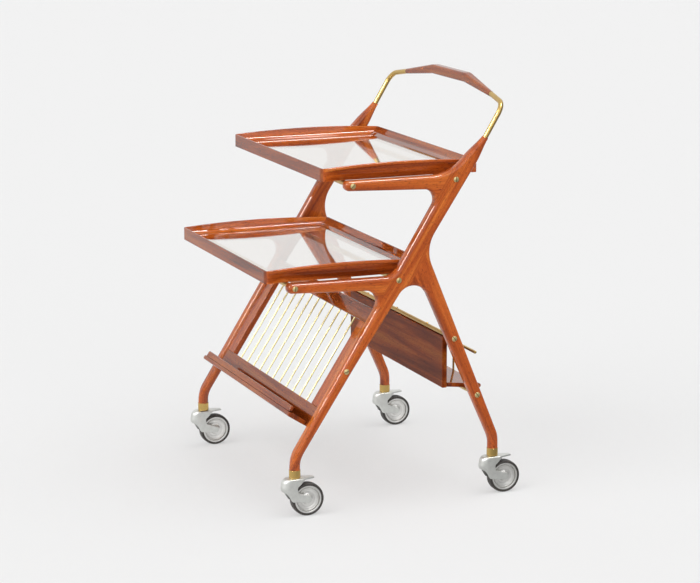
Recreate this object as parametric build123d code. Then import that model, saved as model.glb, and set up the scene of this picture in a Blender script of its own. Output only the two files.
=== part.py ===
from build123d import *
import math
import os

# Layout in millimetres. X runs from left to right across the cart, the tray fronts face -Y and the
# handle is at +Y. Y starts at the middle of the wheelbase and is moved to the middle of the
# bounding box when the pieces are written.
frame_span = 536.0
wheelbase = 410.0
fit_clearance = 0.05
seat_gap = 0.3

# Castors
wheel_radius = 32.0
tyre_depth = 5.0
tyre_width = 18.0
tyre_round = 3.0
rim_band = 2.6
rim_width = 16.0
web_thickness = 9.0
web_groove = 1.2
hub_radius = 8.5
hub_width = 20.0
axle_radius = 3.0
axle_head_radius = 4.0
axle_head = 0.9
castor_trail = 24.0
cheek_gap = 0.5
cheek_thickness = 2.2
cheek_boss = 6.0
hood_clearance = 7.6
hood_plate = 3.0
hood_nose = 28.5
hood_lip = 38.0
hood_lip_depth = 3.2
hood_lip_taper = 10.0
hood_lip_tip = 4.5
nose_rake = 3.5
nose_height = 21.0
nose_rounds = (10.0, 14.0)
chin_back = 18.5
chin_height = 4.5
chin_round = 12.0
heel_back = 20.5
heel_height = 15.5
heel_round = 1.5
notch_back = 23.0
notch_height = 26.0
notch_round = 6.0
throat_back = 9.0
throat_drop = 9.0
throat_round = 8.0
stem_radius = 4.0
stem_grip = 28.0
stem_head_radius = 6.5
stem_head = 2.0

# Feet and ferrules
ferrule_radius = 11.0
ferrule_length = 16.0
ferrule_wall = 1.3
ferrule_floor = 3.0
foot_radius = 10.25
foot_bend_height = 22.0
foot_bend_straight = 1.25
turned_foot = 14.0
turned_rise = 16.0
turned_foot_blend = 15.8

# Side frames: two legs, a spine and two arms cut from one plank
frame_thickness = 22.0
edge_round = 7.0
arm_depth = 18.8
arm_droop = 8.0
elbow_droop = 2.0
arm_tip_flat = 0.4
lower_arm_tip = -219.7
lower_arm_height = 439.4
upper_arm_tip = -105.6
upper_arm_drop = 75.2
lower_junction = 6.2
upper_junction = 120.0
front_leg_width = 33.8
front_calf_width = 23.0
front_calf_drop = 160.0
spine_width = 35.5
waist_rise = 38.6
waist_set_back = 18.3
waist_depth = 19.8
waist_offset = 17.8
crotch_round = 24.0
arch_round = 33.0
waist_round = 65.0
shoulder_round = 90.0
armpit_round = 21.0
elbow_round = 30.0
calf_round = 600.0
stile_end_y = 182.2
stile_end_width = 17.0
neck_radius = 6.0
neck_straight = 0.5
neck_length = 46.0
neck_base_radius = 19.0
turning_margin = 20.0

# Cross rods that carry the trays, and the screws that hold everything to the side frames
tray_rod_radius = 5.0
upper_front_rod = -91.0
upper_rear_rod = 118.0
lower_front_rod = -206.0
lower_rear_rod = 2.0
screw_radius = 2.0
screw_reach = 12.0
screw_head_radius = 5.3
screw_head_sink = 1.0
screw_head_rim = 0.3
screw_head_dome = 1.3
screw_slot = 1.3

# Handle: two bent tubes and a shaped wooden grip
tube_radius = 5.0
tube_bend = 26.0
tube_tenon_radius = 3.5
tube_tenon = 16.0
handle_y = 225.5
handle_height = 771.0
handle_rise = 71.8
tube_droop = 11.0
tube_lead = 6.0
tube_overlap = 2.0
tube_reach = 68.0
grip_end_depth = 10.8
grip_crest = 77.0
grip_crest_depth = 21.0
grip_crest_height = 18.8
grip_belly = 14.0
grip_lean = 7.0
grip_end_round = 5.2
grip_crest_round = 5.6

# Trays: four mitred rails round a sheet of glass, two trays alike
tray_side_gap = 12.0
tray_depth = 319.0
tray_corner_round = 11.0
upper_tray_front = -139.8
lower_tray_front = -251.9
rail_height = 24.5
rail_crown = 6.0
side_rail_width = 18.0
front_rail_width = 14.0
rear_rail_width = 29.0
rail_lip = 5.5
lip_reach = 4.5
rail_base_set = 7.0
cove_foot = 9.0
rail_round = 1.8
rail_flat = 4.0
cove_round = 10.0
cove_rise = 3.2
lip_slope = 2.0
glass_ledge = 6.0
glass_ledge_height = 6.5
glass_thickness = 5.0
glass_play = 0.3

# Magazine rack between the front legs, measured up the leg from its bend and out from its middle
rack_thickness = 11.0
rack_offset = 0.5
rack_foot = 61.8
rack_rail_height = 42.0
rack_top = 316.8
rack_head_height = 30.0
rack_stile_width = 35.0
rack_rod_count = 11
rack_rod_radius = 2.0
rack_rod_pitch = 37.2
rack_rod_tenon = 10.0
blind_bore_gap = 0.5
rack_screw_place = 189.0
rack_screw_offset = 2.0
ledge_thickness = 9.0
ledge_reach = 42.0
ledge_side_gap = 10.0
lip_height = 11.5
lip_thickness = 7.0
lip_inset = 1.0
lip_side_gap = 17.0
strip_round = 3.0

# Bin between the rear legs
bin_side_gap = 22.0
bin_seat_gap = 0.15
bin_rod_radius = 4.0
bin_upper_rod_height = 317.0
bin_lower_rod_height = 202.0
bin_panel_thickness = 10.0
bin_panel_height = 102.5
bin_floor_thickness = 8.5
bin_floor_slope = 6.7
bin_floor_rear = 195.0
bin_floor_round = 3.8
bin_pin_radius = 1.5
bin_pin_head = 2.6
bin_pin_head_height = 1.4
bin_pin_reach = 14.0
bin_pin_spacing = 150.0
gallery_radius = 3.0
gallery_side_gap = 25.0
gallery_y = 184.0
gallery_height = 274.0
gallery_post_radius = 2.0
gallery_post_spacing = 130.0
gallery_post_tenon = 4.0

half_span = frame_span / 2
inner_face = half_span - frame_thickness / 2
grip_half = half_span - tube_reach
tray_half_width = inner_face - tray_side_gap
ledge_half = inner_face - ledge_side_gap
lip_half = inner_face - lip_side_gap
bin_half = inner_face - bin_side_gap
gallery_half = inner_face - gallery_side_gap
stile_end_height = handle_height - handle_rise
upper_arm_height = stile_end_height - upper_arm_drop
arm_tip_round = arm_depth / 2 - arm_tip_flat
stem_y = {"front": -wheelbase / 2, "rear": wheelbase / 2}
stem_x = {"left": -half_span, "right": half_span}
hood_underside = 2 * wheel_radius + hood_clearance
hood_top = hood_underside + hood_plate
ferrule_base = hood_top + 0.4
foot_base = ferrule_base + ferrule_length
bend_height = foot_base + foot_bend_height
tray_rods = {
    "upper_front": (upper_front_rod, upper_arm_height),
    "upper_rear": (upper_rear_rod, upper_arm_height),
    "lower_front": (lower_front_rod, lower_arm_height),
    "lower_rear": (lower_rear_rod, lower_arm_height),
}
cart_front = lower_tray_front
cart_rear = wheelbase / 2 + castor_trail + wheel_radius
origin_shift = -(cart_front + cart_rear) / 2


def write(name, shape):
    """Write one piece, moved so that the origin is below the middle of the bounding box."""
    placed = Pos(0, origin_shift, 0) * shape
    placed.label = name
    export_step(placed, f"parts/{name}.step")


def rod(y, z, x_from, x_to, radius):
    """A round bar along X."""
    return Pos((x_from + x_to) / 2, y, z) * Rot(0, 90, 0) * Cylinder(radius, x_to - x_from)


def upright(x, y, z_from, z_to, radius):
    """A round bar along Z."""
    return Pos(x, y, (z_from + z_to) / 2) * Cylinder(radius, z_to - z_from)


def block(x_from, x_to, y_from, y_to, z_from, z_to):
    """A box between two corners."""
    centre = Pos((x_from + x_to) / 2, (y_from + y_to) / 2, (z_from + z_to) / 2)
    return centre * Box(x_to - x_from, y_to - y_from, z_to - z_from)


def rounded_face(corners):
    """A flat face inside corners given as (X, Y, rounding), each rounding a tangent arc."""
    arcs = []
    for index, (x, y, radius) in enumerate(corners):
        corner = Vector(x, y)
        back = (Vector(*corners[index - 1][:2]) - corner).normalized()
        ahead = (Vector(*corners[(index + 1) % len(corners)][:2]) - corner).normalized()
        half_angle = math.radians(back.get_angle(ahead)) / 2
        reach = radius / math.tan(half_angle)
        to_arc = radius / math.sin(half_angle) - radius
        middle = corner + (back + ahead).normalized() * to_arc
        arcs.append((corner + back * reach, middle, corner + ahead * reach, radius))
    edges = []
    for index, (start, middle, end, radius) in enumerate(arcs):
        if radius:
            edges.append(Edge.make_three_point_arc(start, middle, end))
        edges.append(Edge.make_line(end, arcs[(index + 1) % len(arcs)][0]))
    return Face(Wire(edges))


def side_prism(corners, x_from, x_to):
    """A (Y, Z) outline with rounded corners, carried from x_from to x_to."""
    face = Plane.YZ * rounded_face(corners)
    return Pos(x_from, 0, 0) * extrude(face, x_to - x_from, dir=(1, 0, 0))


def along(start, end, height):
    """Y at a height on the straight line through two (Y, Z) points."""
    share = (height - start[1]) / (end[1] - start[1])
    return start[0] + share * (end[0] - start[0])


front_bend = (stem_y["front"], bend_height)
rear_bend = (stem_y["rear"], bend_height)
lower_knot = (lower_junction, lower_arm_height)
upper_knot = (upper_junction, upper_arm_height)
waist_height = lower_arm_height + waist_rise
waist_y = along(lower_knot, upper_knot, waist_height) + waist_set_back
waist = (waist_y, waist_height)
leg_lean = math.degrees(math.atan2(lower_junction - front_bend[0], lower_arm_height - bend_height))
foot_bend_outer = (foot_bend_height - foot_bend_straight) / math.tan(math.radians(leg_lean / 2))
foot_bend_inner = foot_bend_outer - 2 * foot_radius
stile_lean = math.degrees(math.atan2(handle_y - stile_end_y, handle_height - stile_end_height))
rack_plane = Plane(
    origin=(0, front_bend[0], front_bend[1]),
    x_dir=(1, 0, 0),
    z_dir=(0, -math.cos(math.radians(leg_lean)), math.sin(math.radians(leg_lean))),
)


def rear_leg_y(height):
    """Y of the middle of the rear leg."""
    return along(waist, rear_bend, height)


def rack_point(place, offset):
    """(Y, Z) of a point up the front leg and out from its middle."""
    point = rack_plane.from_local_coords(Vector(0, place, offset))
    return (point.Y, point.Z)


def screw_places():
    """(Y, Z, slot angle) of the screws on the outer face of a side frame."""
    rack_y, rack_z = rack_point(rack_screw_place, rack_screw_offset)
    return [
        (upper_front_rod, upper_arm_height, 50),
        (upper_rear_rod, upper_arm_height, 95),
        (lower_front_rod, lower_arm_height, 85),
        (lower_rear_rod, lower_arm_height, 70),
        (rack_y, rack_z, 20),
        (rear_leg_y(bin_upper_rod_height), bin_upper_rod_height, 125),
        (rear_leg_y(bin_lower_rod_height), bin_lower_rod_height, 130),
    ]


def frame_corners():
    """Corners of the side frame's outline as (Y, Z, rounding), from the front foot round."""
    half_arm = arm_depth / 2
    calf_height = lower_arm_height - front_calf_drop
    calf_y = along(front_bend, lower_knot, calf_height)
    crotch_height = lower_arm_height - half_arm - arm_droop
    crotch_y = along(front_bend, lower_knot, crotch_height) - front_leg_width / 2
    armpit_height = upper_arm_height - half_arm - arm_droop
    armpit_y = along(lower_knot, upper_knot, armpit_height) - spine_width / 2
    elbow_height = lower_arm_height + half_arm - elbow_droop
    elbow_y = along(lower_knot, upper_knot, elbow_height) - spine_width / 2
    shoulder_y = along(lower_knot, upper_knot, upper_arm_height + half_arm) - spine_width / 2
    lean = math.radians(stile_lean)
    end_y = stile_end_width / 2 * math.cos(lean)
    end_z = stile_end_width / 2 * math.sin(lean)
    front = stem_y["front"]
    rear = stem_y["rear"]
    arch_y = waist_y - waist_depth / 2
    arch_height = waist_height - waist_offset
    back_y = waist_y + waist_depth / 2
    back_height = waist_height + waist_offset
    return [
        (front - foot_radius, foot_base, 0),
        (front - foot_radius, bend_height, foot_bend_outer),
        (crotch_y, crotch_height, crotch_round),
        (lower_arm_tip, lower_arm_height - half_arm, arm_tip_round),
        (lower_arm_tip, lower_arm_height + half_arm, arm_tip_round),
        (elbow_y, elbow_height, elbow_round),
        (armpit_y, armpit_height, armpit_round),
        (upper_arm_tip, upper_arm_height - half_arm, arm_tip_round),
        (upper_arm_tip, upper_arm_height + half_arm, arm_tip_round),
        (shoulder_y, upper_arm_height + half_arm, shoulder_round),
        (stile_end_y - end_y, stile_end_height + end_z, 0),
        (stile_end_y + end_y, stile_end_height - end_z, 0),
        (back_y, back_height, waist_round),
        (rear + foot_radius, bend_height, foot_bend_outer),
        (rear + foot_radius, foot_base, 0),
        (rear - foot_radius, foot_base, 0),
        (rear - foot_radius, bend_height, foot_bend_inner),
        (arch_y, arch_height, arch_round),
        (calf_y + front_calf_width / 2, calf_height, calf_round),
        (front + foot_radius, bend_height, foot_bend_inner),
        (front + foot_radius, foot_base, 0),
    ]


def turned_end(end, direction, end_radius, straight, rise, base_radius):
    """What a lathe takes off round an end: all outside a short cylinder and the cone above it."""
    bottom = (Align.CENTER, Align.CENTER, Align.MIN)
    start = Pos(0, 0, -turning_margin)
    width = 2 * (base_radius + turning_margin)
    blank = start * Box(width, width, straight + rise + turning_margin, align=bottom)
    core = start * Cylinder(end_radius, straight + turning_margin, align=bottom)
    cone = Pos(0, 0, straight) * Cone(end_radius, base_radius, rise, align=bottom)
    return Plane(origin=end, x_dir=(1, 0, 0), z_dir=direction) * (blank - core - cone)


def side_frame(side):
    """One side frame, rounded along its edges, with a turned neck, two turned feet and its bores."""
    x = stem_x[side]
    corners = frame_corners()
    body = side_prism(corners, x - frame_thickness / 2, x + frame_thickness / 2)
    faces = body.faces().sort_by(Axis.X)
    edges = faces[0].outer_wire().edges() + faces[-1].outer_wire().edges()
    body = fillet([edge for edge in edges if not is_end_edge(edge)], edge_round)
    stem_top = ferrule_base + ferrule_floor + stem_grip
    for y in stem_y.values():
        foot = (x, y, foot_base)
        body -= turned_end(foot, (0, 0, 1), foot_radius, turned_foot, turned_rise, turned_foot_blend)
        body -= upright(x, y, foot_base - 1, stem_top, stem_radius + fit_clearance)
        body += foot_spigot(x, y)
    lean = math.radians(stile_lean)
    down_stile = (0, -math.sin(lean), -math.cos(lean))
    neck = (x, stile_end_y, stile_end_height)
    body -= turned_end(neck, down_stile, neck_radius, neck_straight, neck_length, neck_base_radius)
    tenon_bore = Plane(origin=neck, x_dir=(1, 0, 0), z_dir=down_stile) * Cylinder(
        tube_tenon_radius + fit_clearance, 2 * (tube_tenon + 1)
    )
    body -= tenon_bore
    outward = 1 if side == "right" else -1
    for y, z, _ in screw_places():
        body -= rod(y, z, x - frame_thickness, x + frame_thickness, screw_radius + fit_clearance)
        seat = x + outward * (frame_thickness / 2 - screw_head_sink)
        far = x + outward * frame_thickness
        body -= rod(y, z, min(seat, far), max(seat, far), screw_head_radius + fit_clearance)
    return body


def is_end_edge(edge):
    """True for the straight edges that close the feet and the top of the stile."""
    middle = edge @ 0.5
    at_foot = abs(middle.Z - foot_base) < 0.01
    at_top = (middle - Vector(middle.X, stile_end_y, stile_end_height)).length < 0.01
    return at_foot or at_top


def foot_spigot(x, y):
    """The reduced end of a foot that fills its ferrule, bored for the castor stem."""
    base = ferrule_base + ferrule_floor
    spigot = upright(x, y, base, foot_base, ferrule_radius - ferrule_wall - fit_clearance)
    return spigot - upright(x, y, base - 1, foot_base + 1, stem_radius + fit_clearance)


def ferrule(x, y):
    """A brass cup on the end of a foot."""
    cup = upright(x, y, ferrule_base, foot_base, ferrule_radius)
    cup -= upright(x, y, ferrule_base + ferrule_floor, foot_base + 1, ferrule_radius - ferrule_wall)
    cup -= upright(x, y, ferrule_base - 1, foot_base, stem_radius + fit_clearance)
    return cup


def castor_stem(x, y):
    """The pin that the castor turns on, riveted under the hood and gripped by the foot."""
    head_top = hood_underside - seat_gap
    pin = upright(x, y, head_top - stem_head, ferrule_base + ferrule_floor + stem_grip - 1, stem_radius)
    return pin + upright(x, y, head_top - stem_head, head_top, stem_head_radius)


def castor_hood(x, y):
    """Pressed hood with two comma-shaped cheeks, trailing towards +Y."""
    half = hub_width / 2 + cheek_gap + cheek_thickness
    inner = half - cheek_thickness
    axle = wheel_radius
    trail = y + castor_trail
    boss_round = cheek_boss - 0.2
    nose_top, nose_low = nose_rounds
    corners = [
        (y - hood_nose + nose_rake, hood_top, nose_top),
        (y - hood_nose, axle + nose_height, nose_low),
        (y - hood_nose + chin_back, axle - cheek_boss + chin_height, chin_round),
        (trail + cheek_boss, axle - cheek_boss, boss_round),
        (trail + cheek_boss, axle + cheek_boss, boss_round),
        (trail - heel_back, axle + heel_height, heel_round),
        (trail - notch_back, axle + notch_height, notch_round),
        (trail - throat_back, hood_top - throat_drop, throat_round),
        (y + hood_lip, hood_top - hood_lip_depth, 0),
        (y + hood_lip, hood_top, 0),
    ]
    body = side_prism(corners, x - half, x + half)
    body &= hood_plan(x, y, half, half - 0.1, hood_nose, axle - cheek_boss - 1, hood_top + 1)
    pocket = block(x - inner, x + inner, y - 60, y + 60, 0, hood_underside)
    nose = hood_nose - cheek_thickness
    body -= pocket & hood_plan(x, y, inner, inner - 0.1, nose, 0, hood_underside)
    for way in (-1, 1):
        body -= lip_cut(x, y, way, half)
    body -= upright(x, y, hood_underside - 1, hood_top + 1, stem_radius + fit_clearance)
    return body - rod(trail, axle, x - half - 1, x + half + 1, axle_radius + fit_clearance)


def hood_plan(x, y, half, nose_round, nose, z_from, z_to):
    """Seen from above, a hood is a strip with a round nose."""
    strip = rounded_face([
        (x - half, y - nose, nose_round),
        (x + half, y - nose, nose_round),
        (x + half, y + 60, 0),
        (x - half, y + 60, 0),
    ])
    return Pos(0, 0, z_from) * extrude(strip, z_to - z_from, dir=(0, 0, 1))


def lip_cut(x, y, way, half):
    """The wedge taken off one side of a hood's lip, which narrows to a tongue."""
    wedge = rounded_face([
        (x + way * half, y + hood_lip_taper, 0),
        (x + way * (half + 1), y + hood_lip + 1, 0),
        (x + way * hood_lip_tip, y + hood_lip + 1, 0),
    ])
    low = hood_top - throat_drop - 2
    return Pos(0, 0, low) * extrude(wedge, hood_top + 1 - low, dir=(0, 0, 1))


def castor_axle(x, y):
    """Axle pin with a low head outside each cheek."""
    outer = hub_width / 2 + cheek_gap + cheek_thickness
    centre_y = y + castor_trail
    pin = rod(centre_y, wheel_radius, x - outer - axle_head, x + outer + axle_head, axle_radius)
    for side in (-1, 1):
        near = x + side * outer
        far = near + side * axle_head
        pin += rod(centre_y, wheel_radius, min(near, far), max(near, far), axle_head_radius)
    return pin


def wheel_turning(x, y, corners):
    """A ring turned from an outline about the axle."""
    ring = revolve(rounded_face(corners), Axis.X)
    return Pos(x, y + castor_trail, wheel_radius) * ring


def castor_tyre(x, y):
    """Rubber tyre with rounded shoulders."""
    half = tyre_width / 2
    bore = wheel_radius - tyre_depth + fit_clearance
    corners = [
        (-half, bore, 0),
        (half, bore, 0),
        (half, wheel_radius, tyre_round),
        (-half, wheel_radius, tyre_round),
    ]
    return wheel_turning(x, y, corners)


def castor_disc(x, y):
    """Turned wheel disc with a raised rim, a shallow groove and a hub, bored for the axle."""
    bore = axle_radius + fit_clearance
    rim = wheel_radius - tyre_depth
    half = {"hub": hub_width / 2, "web": web_thickness / 2, "rim": rim_width / 2}
    inner_rim = rim - rim_band
    groove = (hub_radius + inner_rim) / 2
    right = [
        (half["hub"], bore),
        (half["hub"], hub_radius),
        (half["web"], hub_radius + 2),
        (half["web"], groove - 2),
        (half["web"] - web_groove, groove),
        (half["web"], groove + 2),
        (half["web"], inner_rim - 2),
        (half["rim"], inner_rim),
        (half["rim"], rim),
    ]
    left = [(-half_width, radius) for half_width, radius in reversed(right)]
    return wheel_turning(x, y, [(half_width, radius, 0) for half_width, radius in right + left])


def screw(x, y, z, outward, slot_angle):
    """Slotted oval-head screw driven from the outer face of a side frame."""
    length = frame_thickness + screw_reach
    crown = screw_head_rim + screw_head_dome
    arc_radius = (screw_head_radius**2 + screw_head_dome**2) / (2 * screw_head_dome)
    lift = arc_radius - math.sqrt(arc_radius**2 - (screw_head_radius / 2) ** 2)
    edges = [
        Edge.make_line((0, 0, crown), (0, 0, -length)),
        Edge.make_line((0, 0, -length), (screw_radius, 0, -length)),
        Edge.make_line((screw_radius, 0, -length), (screw_radius, 0, -screw_head_sink)),
        Edge.make_line((screw_radius, 0, -screw_head_sink), (screw_head_radius, 0, -screw_head_sink)),
        Edge.make_line((screw_head_radius, 0, -screw_head_sink), (screw_head_radius, 0, screw_head_rim)),
        Edge.make_three_point_arc(
            (screw_head_radius, 0, screw_head_rim),
            (screw_head_radius / 2, 0, crown - lift),
            (0, 0, crown),
        ),
    ]
    body = revolve(Face(Wire(edges)), Axis.Z)
    slot = Pos(0, 0, crown) * Box(3 * screw_head_radius, screw_slot, 2 * screw_head_dome)
    turned = body - Rot(0, 0, slot_angle) * slot
    face = x + outward * frame_thickness / 2
    place = Plane(origin=(face, y, z), x_dir=(0, 1, 0), z_dir=(outward, 0, 0))
    return place * turned


def side_screws():
    """All fourteen screws."""
    group = []
    for side, outward in (("left", -1), ("right", 1)):
        for y, z, angle in screw_places():
            group.append(screw(stem_x[side], y, z, outward, angle))
    return Compound(group)


def cross_rod(y, z, radius):
    """A rod between the side frames, tapped at both ends for the screws."""
    bar = rod(y, z, -inner_face, inner_face, radius)
    for side in (-1, 1):
        deep = side * (inner_face - screw_reach - 1)
        far = side * half_span
        bar -= rod(y, z, min(deep, far), max(deep, far), screw_radius + fit_clearance)
    return bar


def handle_tube(side):
    """Bent tube that rises from the top of a side frame and climbs on to the grip, with two tenons."""
    start = Vector(stem_x[side], stile_end_y, stile_end_height)
    lean = (handle_y - stile_end_y) / handle_rise
    corner = Vector(stem_x[side], handle_y - lean * tube_droop, handle_height - tube_droop)
    outward = 1 if side == "right" else -1
    end, way = grip_end(outward)
    lead = end + way * tube_lead
    inside = end - way * tube_overlap
    path = FilletPolyline(start, corner, lead, inside, radius=tube_bend)
    section = Plane(origin=start, z_dir=corner - start) * Circle(tube_radius)
    tube = sweep(section, path=path)
    near, far = outward * grip_half, outward * (half_span + tube_reach)
    tube &= block(min(near, far), max(near, far), 0, 2 * handle_y, 0, 2 * handle_height)
    lower = (corner - start).normalized()
    tenon = Cylinder(tube_tenon_radius, tube_tenon, align=(Align.CENTER, Align.CENTER, Align.MAX))
    tube += Plane(origin=start, x_dir=(1, 0, 0), z_dir=lower) * tenon
    peg = Cylinder(
        tube_tenon_radius, tube_tenon + tube_overlap, align=(Align.CENTER, Align.CENTER, Align.MAX)
    )
    tube += Plane(origin=end + way * tube_overlap, x_dir=(0, 1, 0), z_dir=way) * peg
    return tube


def grip_end(outward):
    """Middle of one end of the grip, and the way its axis leaves it."""
    crest_middle = handle_height - grip_end_depth / 2 + grip_belly + grip_crest_height / 2
    end = Vector(outward * grip_half, handle_y, handle_height)
    crest = Vector(outward * grip_crest, handle_y + grip_lean, crest_middle)
    return end, (end - crest).normalized()


def grip_section(place, share):
    """Rounded section of the grip at one place along X, with its share of the way to the crest."""
    height = grip_end_depth + (grip_crest_height - grip_end_depth) * share
    depth = grip_end_depth + (grip_crest_depth - grip_end_depth) * share
    corner = grip_end_round + (grip_crest_round - grip_end_round) * share
    middle = handle_height - grip_end_depth / 2 + grip_belly * share + height / 2
    plane = Plane(origin=(place, handle_y + grip_lean * share, middle), x_dir=(0, 1, 0), z_dir=(1, 0, 0))
    return plane * RectangleRounded(depth, height, corner)


def handle_grip():
    """Wooden grip: slim round ends, sloping shoulders and a level crest that leans back."""
    stations = [(-grip_half, 0), (-grip_crest, 1), (grip_crest, 1), (grip_half, 0)]
    grip = loft([grip_section(place, share) for place, share in stations], ruled=True)
    bore = Cylinder(tube_tenon_radius + fit_clearance, 2 * (tube_tenon + 1))
    for outward in (-1, 1):
        end, way = grip_end(outward)
        grip -= Plane(origin=end, x_dir=(0, 1, 0), z_dir=way) * bore
    return grip


def tray_trim(front, corners):
    """What a rail is cut to in plan: its mitred outline inside the tray's rounded corners."""
    outline = rounded_face([(x, front + y, 0) for x, y in corners])
    half = tray_half_width
    whole = rounded_face([
        (-half, front, tray_corner_round),
        (half, front, tray_corner_round),
        (half, front + tray_depth, tray_corner_round),
        (-half, front + tray_depth, tray_corner_round),
    ])
    height = 3 * rail_height
    return extrude(outline, height, dir=(0, 0, 1)) & extrude(whole, height, dir=(0, 0, 1))


def tray_corners():
    """Outer and inner corners of the tray seen from above, front then rear, right side."""
    half = tray_half_width
    inner = half - side_rail_width - glass_ledge
    front_in = front_rail_width + glass_ledge
    rear_in = tray_depth - rear_rail_width - glass_ledge
    return (half, 0), (inner, front_in), (half, tray_depth), (inner, rear_in)


def glass_top():
    """Height of the glass top above the underside of the tray."""
    return glass_ledge_height + glass_thickness


def cross_rail(front, base, width, outer, inward):
    """Front or rear rail: upright outer face, rounded top edge and a hollowed slope to the glass."""
    ledge = outer + inward * (width + glass_ledge)
    glass_line = outer + inward * width
    section = rounded_face([
        (ledge, base, 0),
        (outer, base, rail_round),
        (outer, base + rail_height, rail_round),
        (outer + inward * rail_flat, base + rail_height, rail_round / 2),
        (outer + inward * width / 2, base + glass_top() + cove_rise, cove_round),
        (glass_line, base + glass_top(), 0),
        (glass_line, base + glass_ledge_height, 0),
        (ledge, base + glass_ledge_height, 0),
    ])
    rail = extrude(Plane.YZ * section, tray_half_width, dir=(1, 0, 0), both=True)
    outer_front, inner_front, outer_rear, inner_rear = tray_corners()
    if inward > 0:
        near, far = outer_front, inner_front
    else:
        near, far = outer_rear, inner_rear
    trim = tray_trim(front, [near, far, (-far[0], far[1]), (-near[0], near[1])])
    return rail & Pos(0, 0, base - 1) * trim


def side_rail_section(y, base, crown):
    """Outline of a side rail where its top stands higher than at the ends by the crown."""
    half = tray_half_width
    glass_line = half - side_rail_width
    ledge = glass_line - glass_ledge
    top = rail_height + crown
    section = rounded_face([
        (ledge, 0, 0),
        (half - rail_base_set, 0, rail_round / 2),
        (half - lip_reach, top - rail_lip - lip_slope, rail_round / 2),
        (half, top - rail_lip, rail_round / 2),
        (half, top, rail_round),
        (half - rail_flat, top, rail_round / 2),
        (glass_line + cove_foot, glass_top() + cove_rise, cove_round),
        (glass_line, glass_top(), 0),
        (glass_line, glass_ledge_height, 0),
        (ledge, glass_ledge_height, 0),
    ])
    return Plane(origin=(0, y, base), x_dir=(1, 0, 0), z_dir=(0, -1, 0)) * section


def side_rail(front, base, side):
    """Crowned side rail with an overhanging lip, a sloping lower face and an inner cove."""
    rear = front + tray_depth
    stations = [(front, 0), ((front + rear) / 2, rail_crown), (rear, 0)]
    rail = loft([side_rail_section(y, base, crown) for y, crown in stations])
    outer_front, inner_front, outer_rear, inner_rear = tray_corners()
    trim = tray_trim(front, [outer_front, outer_rear, inner_rear, inner_front])
    rail &= Pos(0, 0, base - 1) * trim
    if side == "left":
        rail = mirror(rail, about=Plane.YZ)
    return rail


def tray_glass(front, base):
    """Clear glass resting on the ledges of the four rails."""
    half = tray_half_width - side_rail_width - glass_play
    y_from = front + front_rail_width + glass_play
    y_to = front + tray_depth - rear_rail_width - glass_play
    low = base + glass_ledge_height
    return block(-half, half, y_from, y_to, low, low + glass_thickness)


def rack_board(x_from, x_to, place_from, place_to, out_from, out_to):
    """A board lying in the rack's own directions."""
    return rack_plane * block(x_from, x_to, place_from, place_to, out_from, out_to)


def rack_faces():
    """How far the rack's rear and front faces stand out from the middle of the leg."""
    return rack_offset - rack_thickness / 2, rack_offset + rack_thickness / 2


def rack_rod_places():
    """X of the rack's rods."""
    middle = (rack_rod_count - 1) / 2
    return [(index - middle) * rack_rod_pitch for index in range(rack_rod_count)]


def rack_rods(radius, tenon):
    """The thin rods between the rack's rails, or their bores."""
    low = rack_foot + rack_rail_height - tenon
    high = rack_top - rack_head_height + tenon
    group = []
    for x in rack_rod_places():
        local = Pos(x, (low + high) / 2, rack_offset) * Rot(90, 0, 0) * Cylinder(radius, high - low)
        group.append(rack_plane * local)
    return group


def rack_rail(place_from, place_to):
    """A rail across the rack with blind bores for its rods."""
    back, front = rack_faces()
    rail = rack_board(-inner_face, inner_face, place_from, place_to, back, front)
    for bore in rack_rods(rack_rod_radius + fit_clearance, rack_rod_tenon + blind_bore_gap):
        rail -= bore
    return rail


def rack_stile(side):
    """Upright board of the rack against a front leg, bored for its screw."""
    back, front = rack_faces()
    near = inner_face - rack_stile_width
    low = rack_foot + rack_rail_height
    high = rack_top - rack_head_height
    board = rack_board(near, inner_face, low, high, back, front)
    y, z = rack_point(rack_screw_place, rack_screw_offset)
    board -= rod(y, z, inner_face - screw_reach - 1, half_span, screw_radius + fit_clearance)
    return board if side == "right" else mirror(board, about=Plane.YZ)


def rack_ledge():
    """Shelf board along the foot of the rack, with a rounded front edge."""
    _, front = rack_faces()
    low = rack_foot
    board = rack_board(-ledge_half, ledge_half, low, low + ledge_thickness, front, front + ledge_reach)
    nose = board.edges().filter_by(Axis.X).sort_by(lambda edge: rack_plane.to_local_coords(edge @ 0.5).Z)
    return fillet(nose[-2:], strip_round)


def rack_lip():
    """Strip that stands on the shelf board and keeps the magazines in."""
    _, front = rack_faces()
    out_to = front + ledge_reach - lip_inset
    low = rack_foot + ledge_thickness
    strip = rack_board(-lip_half, lip_half, low, low + lip_height, out_to - lip_thickness, out_to)
    top = strip.edges().filter_by(Axis.X).sort_by(lambda edge: rack_plane.to_local_coords(edge @ 0.5).Y)
    return fillet(top[-2:], strip_round)


def bin_rods():
    """(Y, Z) of the upper and lower rods that carry the bin."""
    upper = (rear_leg_y(bin_upper_rod_height), bin_upper_rod_height)
    lower = (rear_leg_y(bin_lower_rod_height), bin_lower_rod_height)
    return upper, lower


def bin_pin_places():
    """X of the pins that hang the front panel from the upper rod."""
    return [-bin_pin_spacing, 0, bin_pin_spacing]


def bin_upper_rod():
    """Upper rod, drilled for the panel's pins."""
    (y, z), _ = bin_rods()
    bar = cross_rod(y, z, bin_rod_radius)
    for x in bin_pin_places():
        bar -= upright(x, y, z - 10, z + 10, bin_pin_radius + fit_clearance)
    return bar


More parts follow.
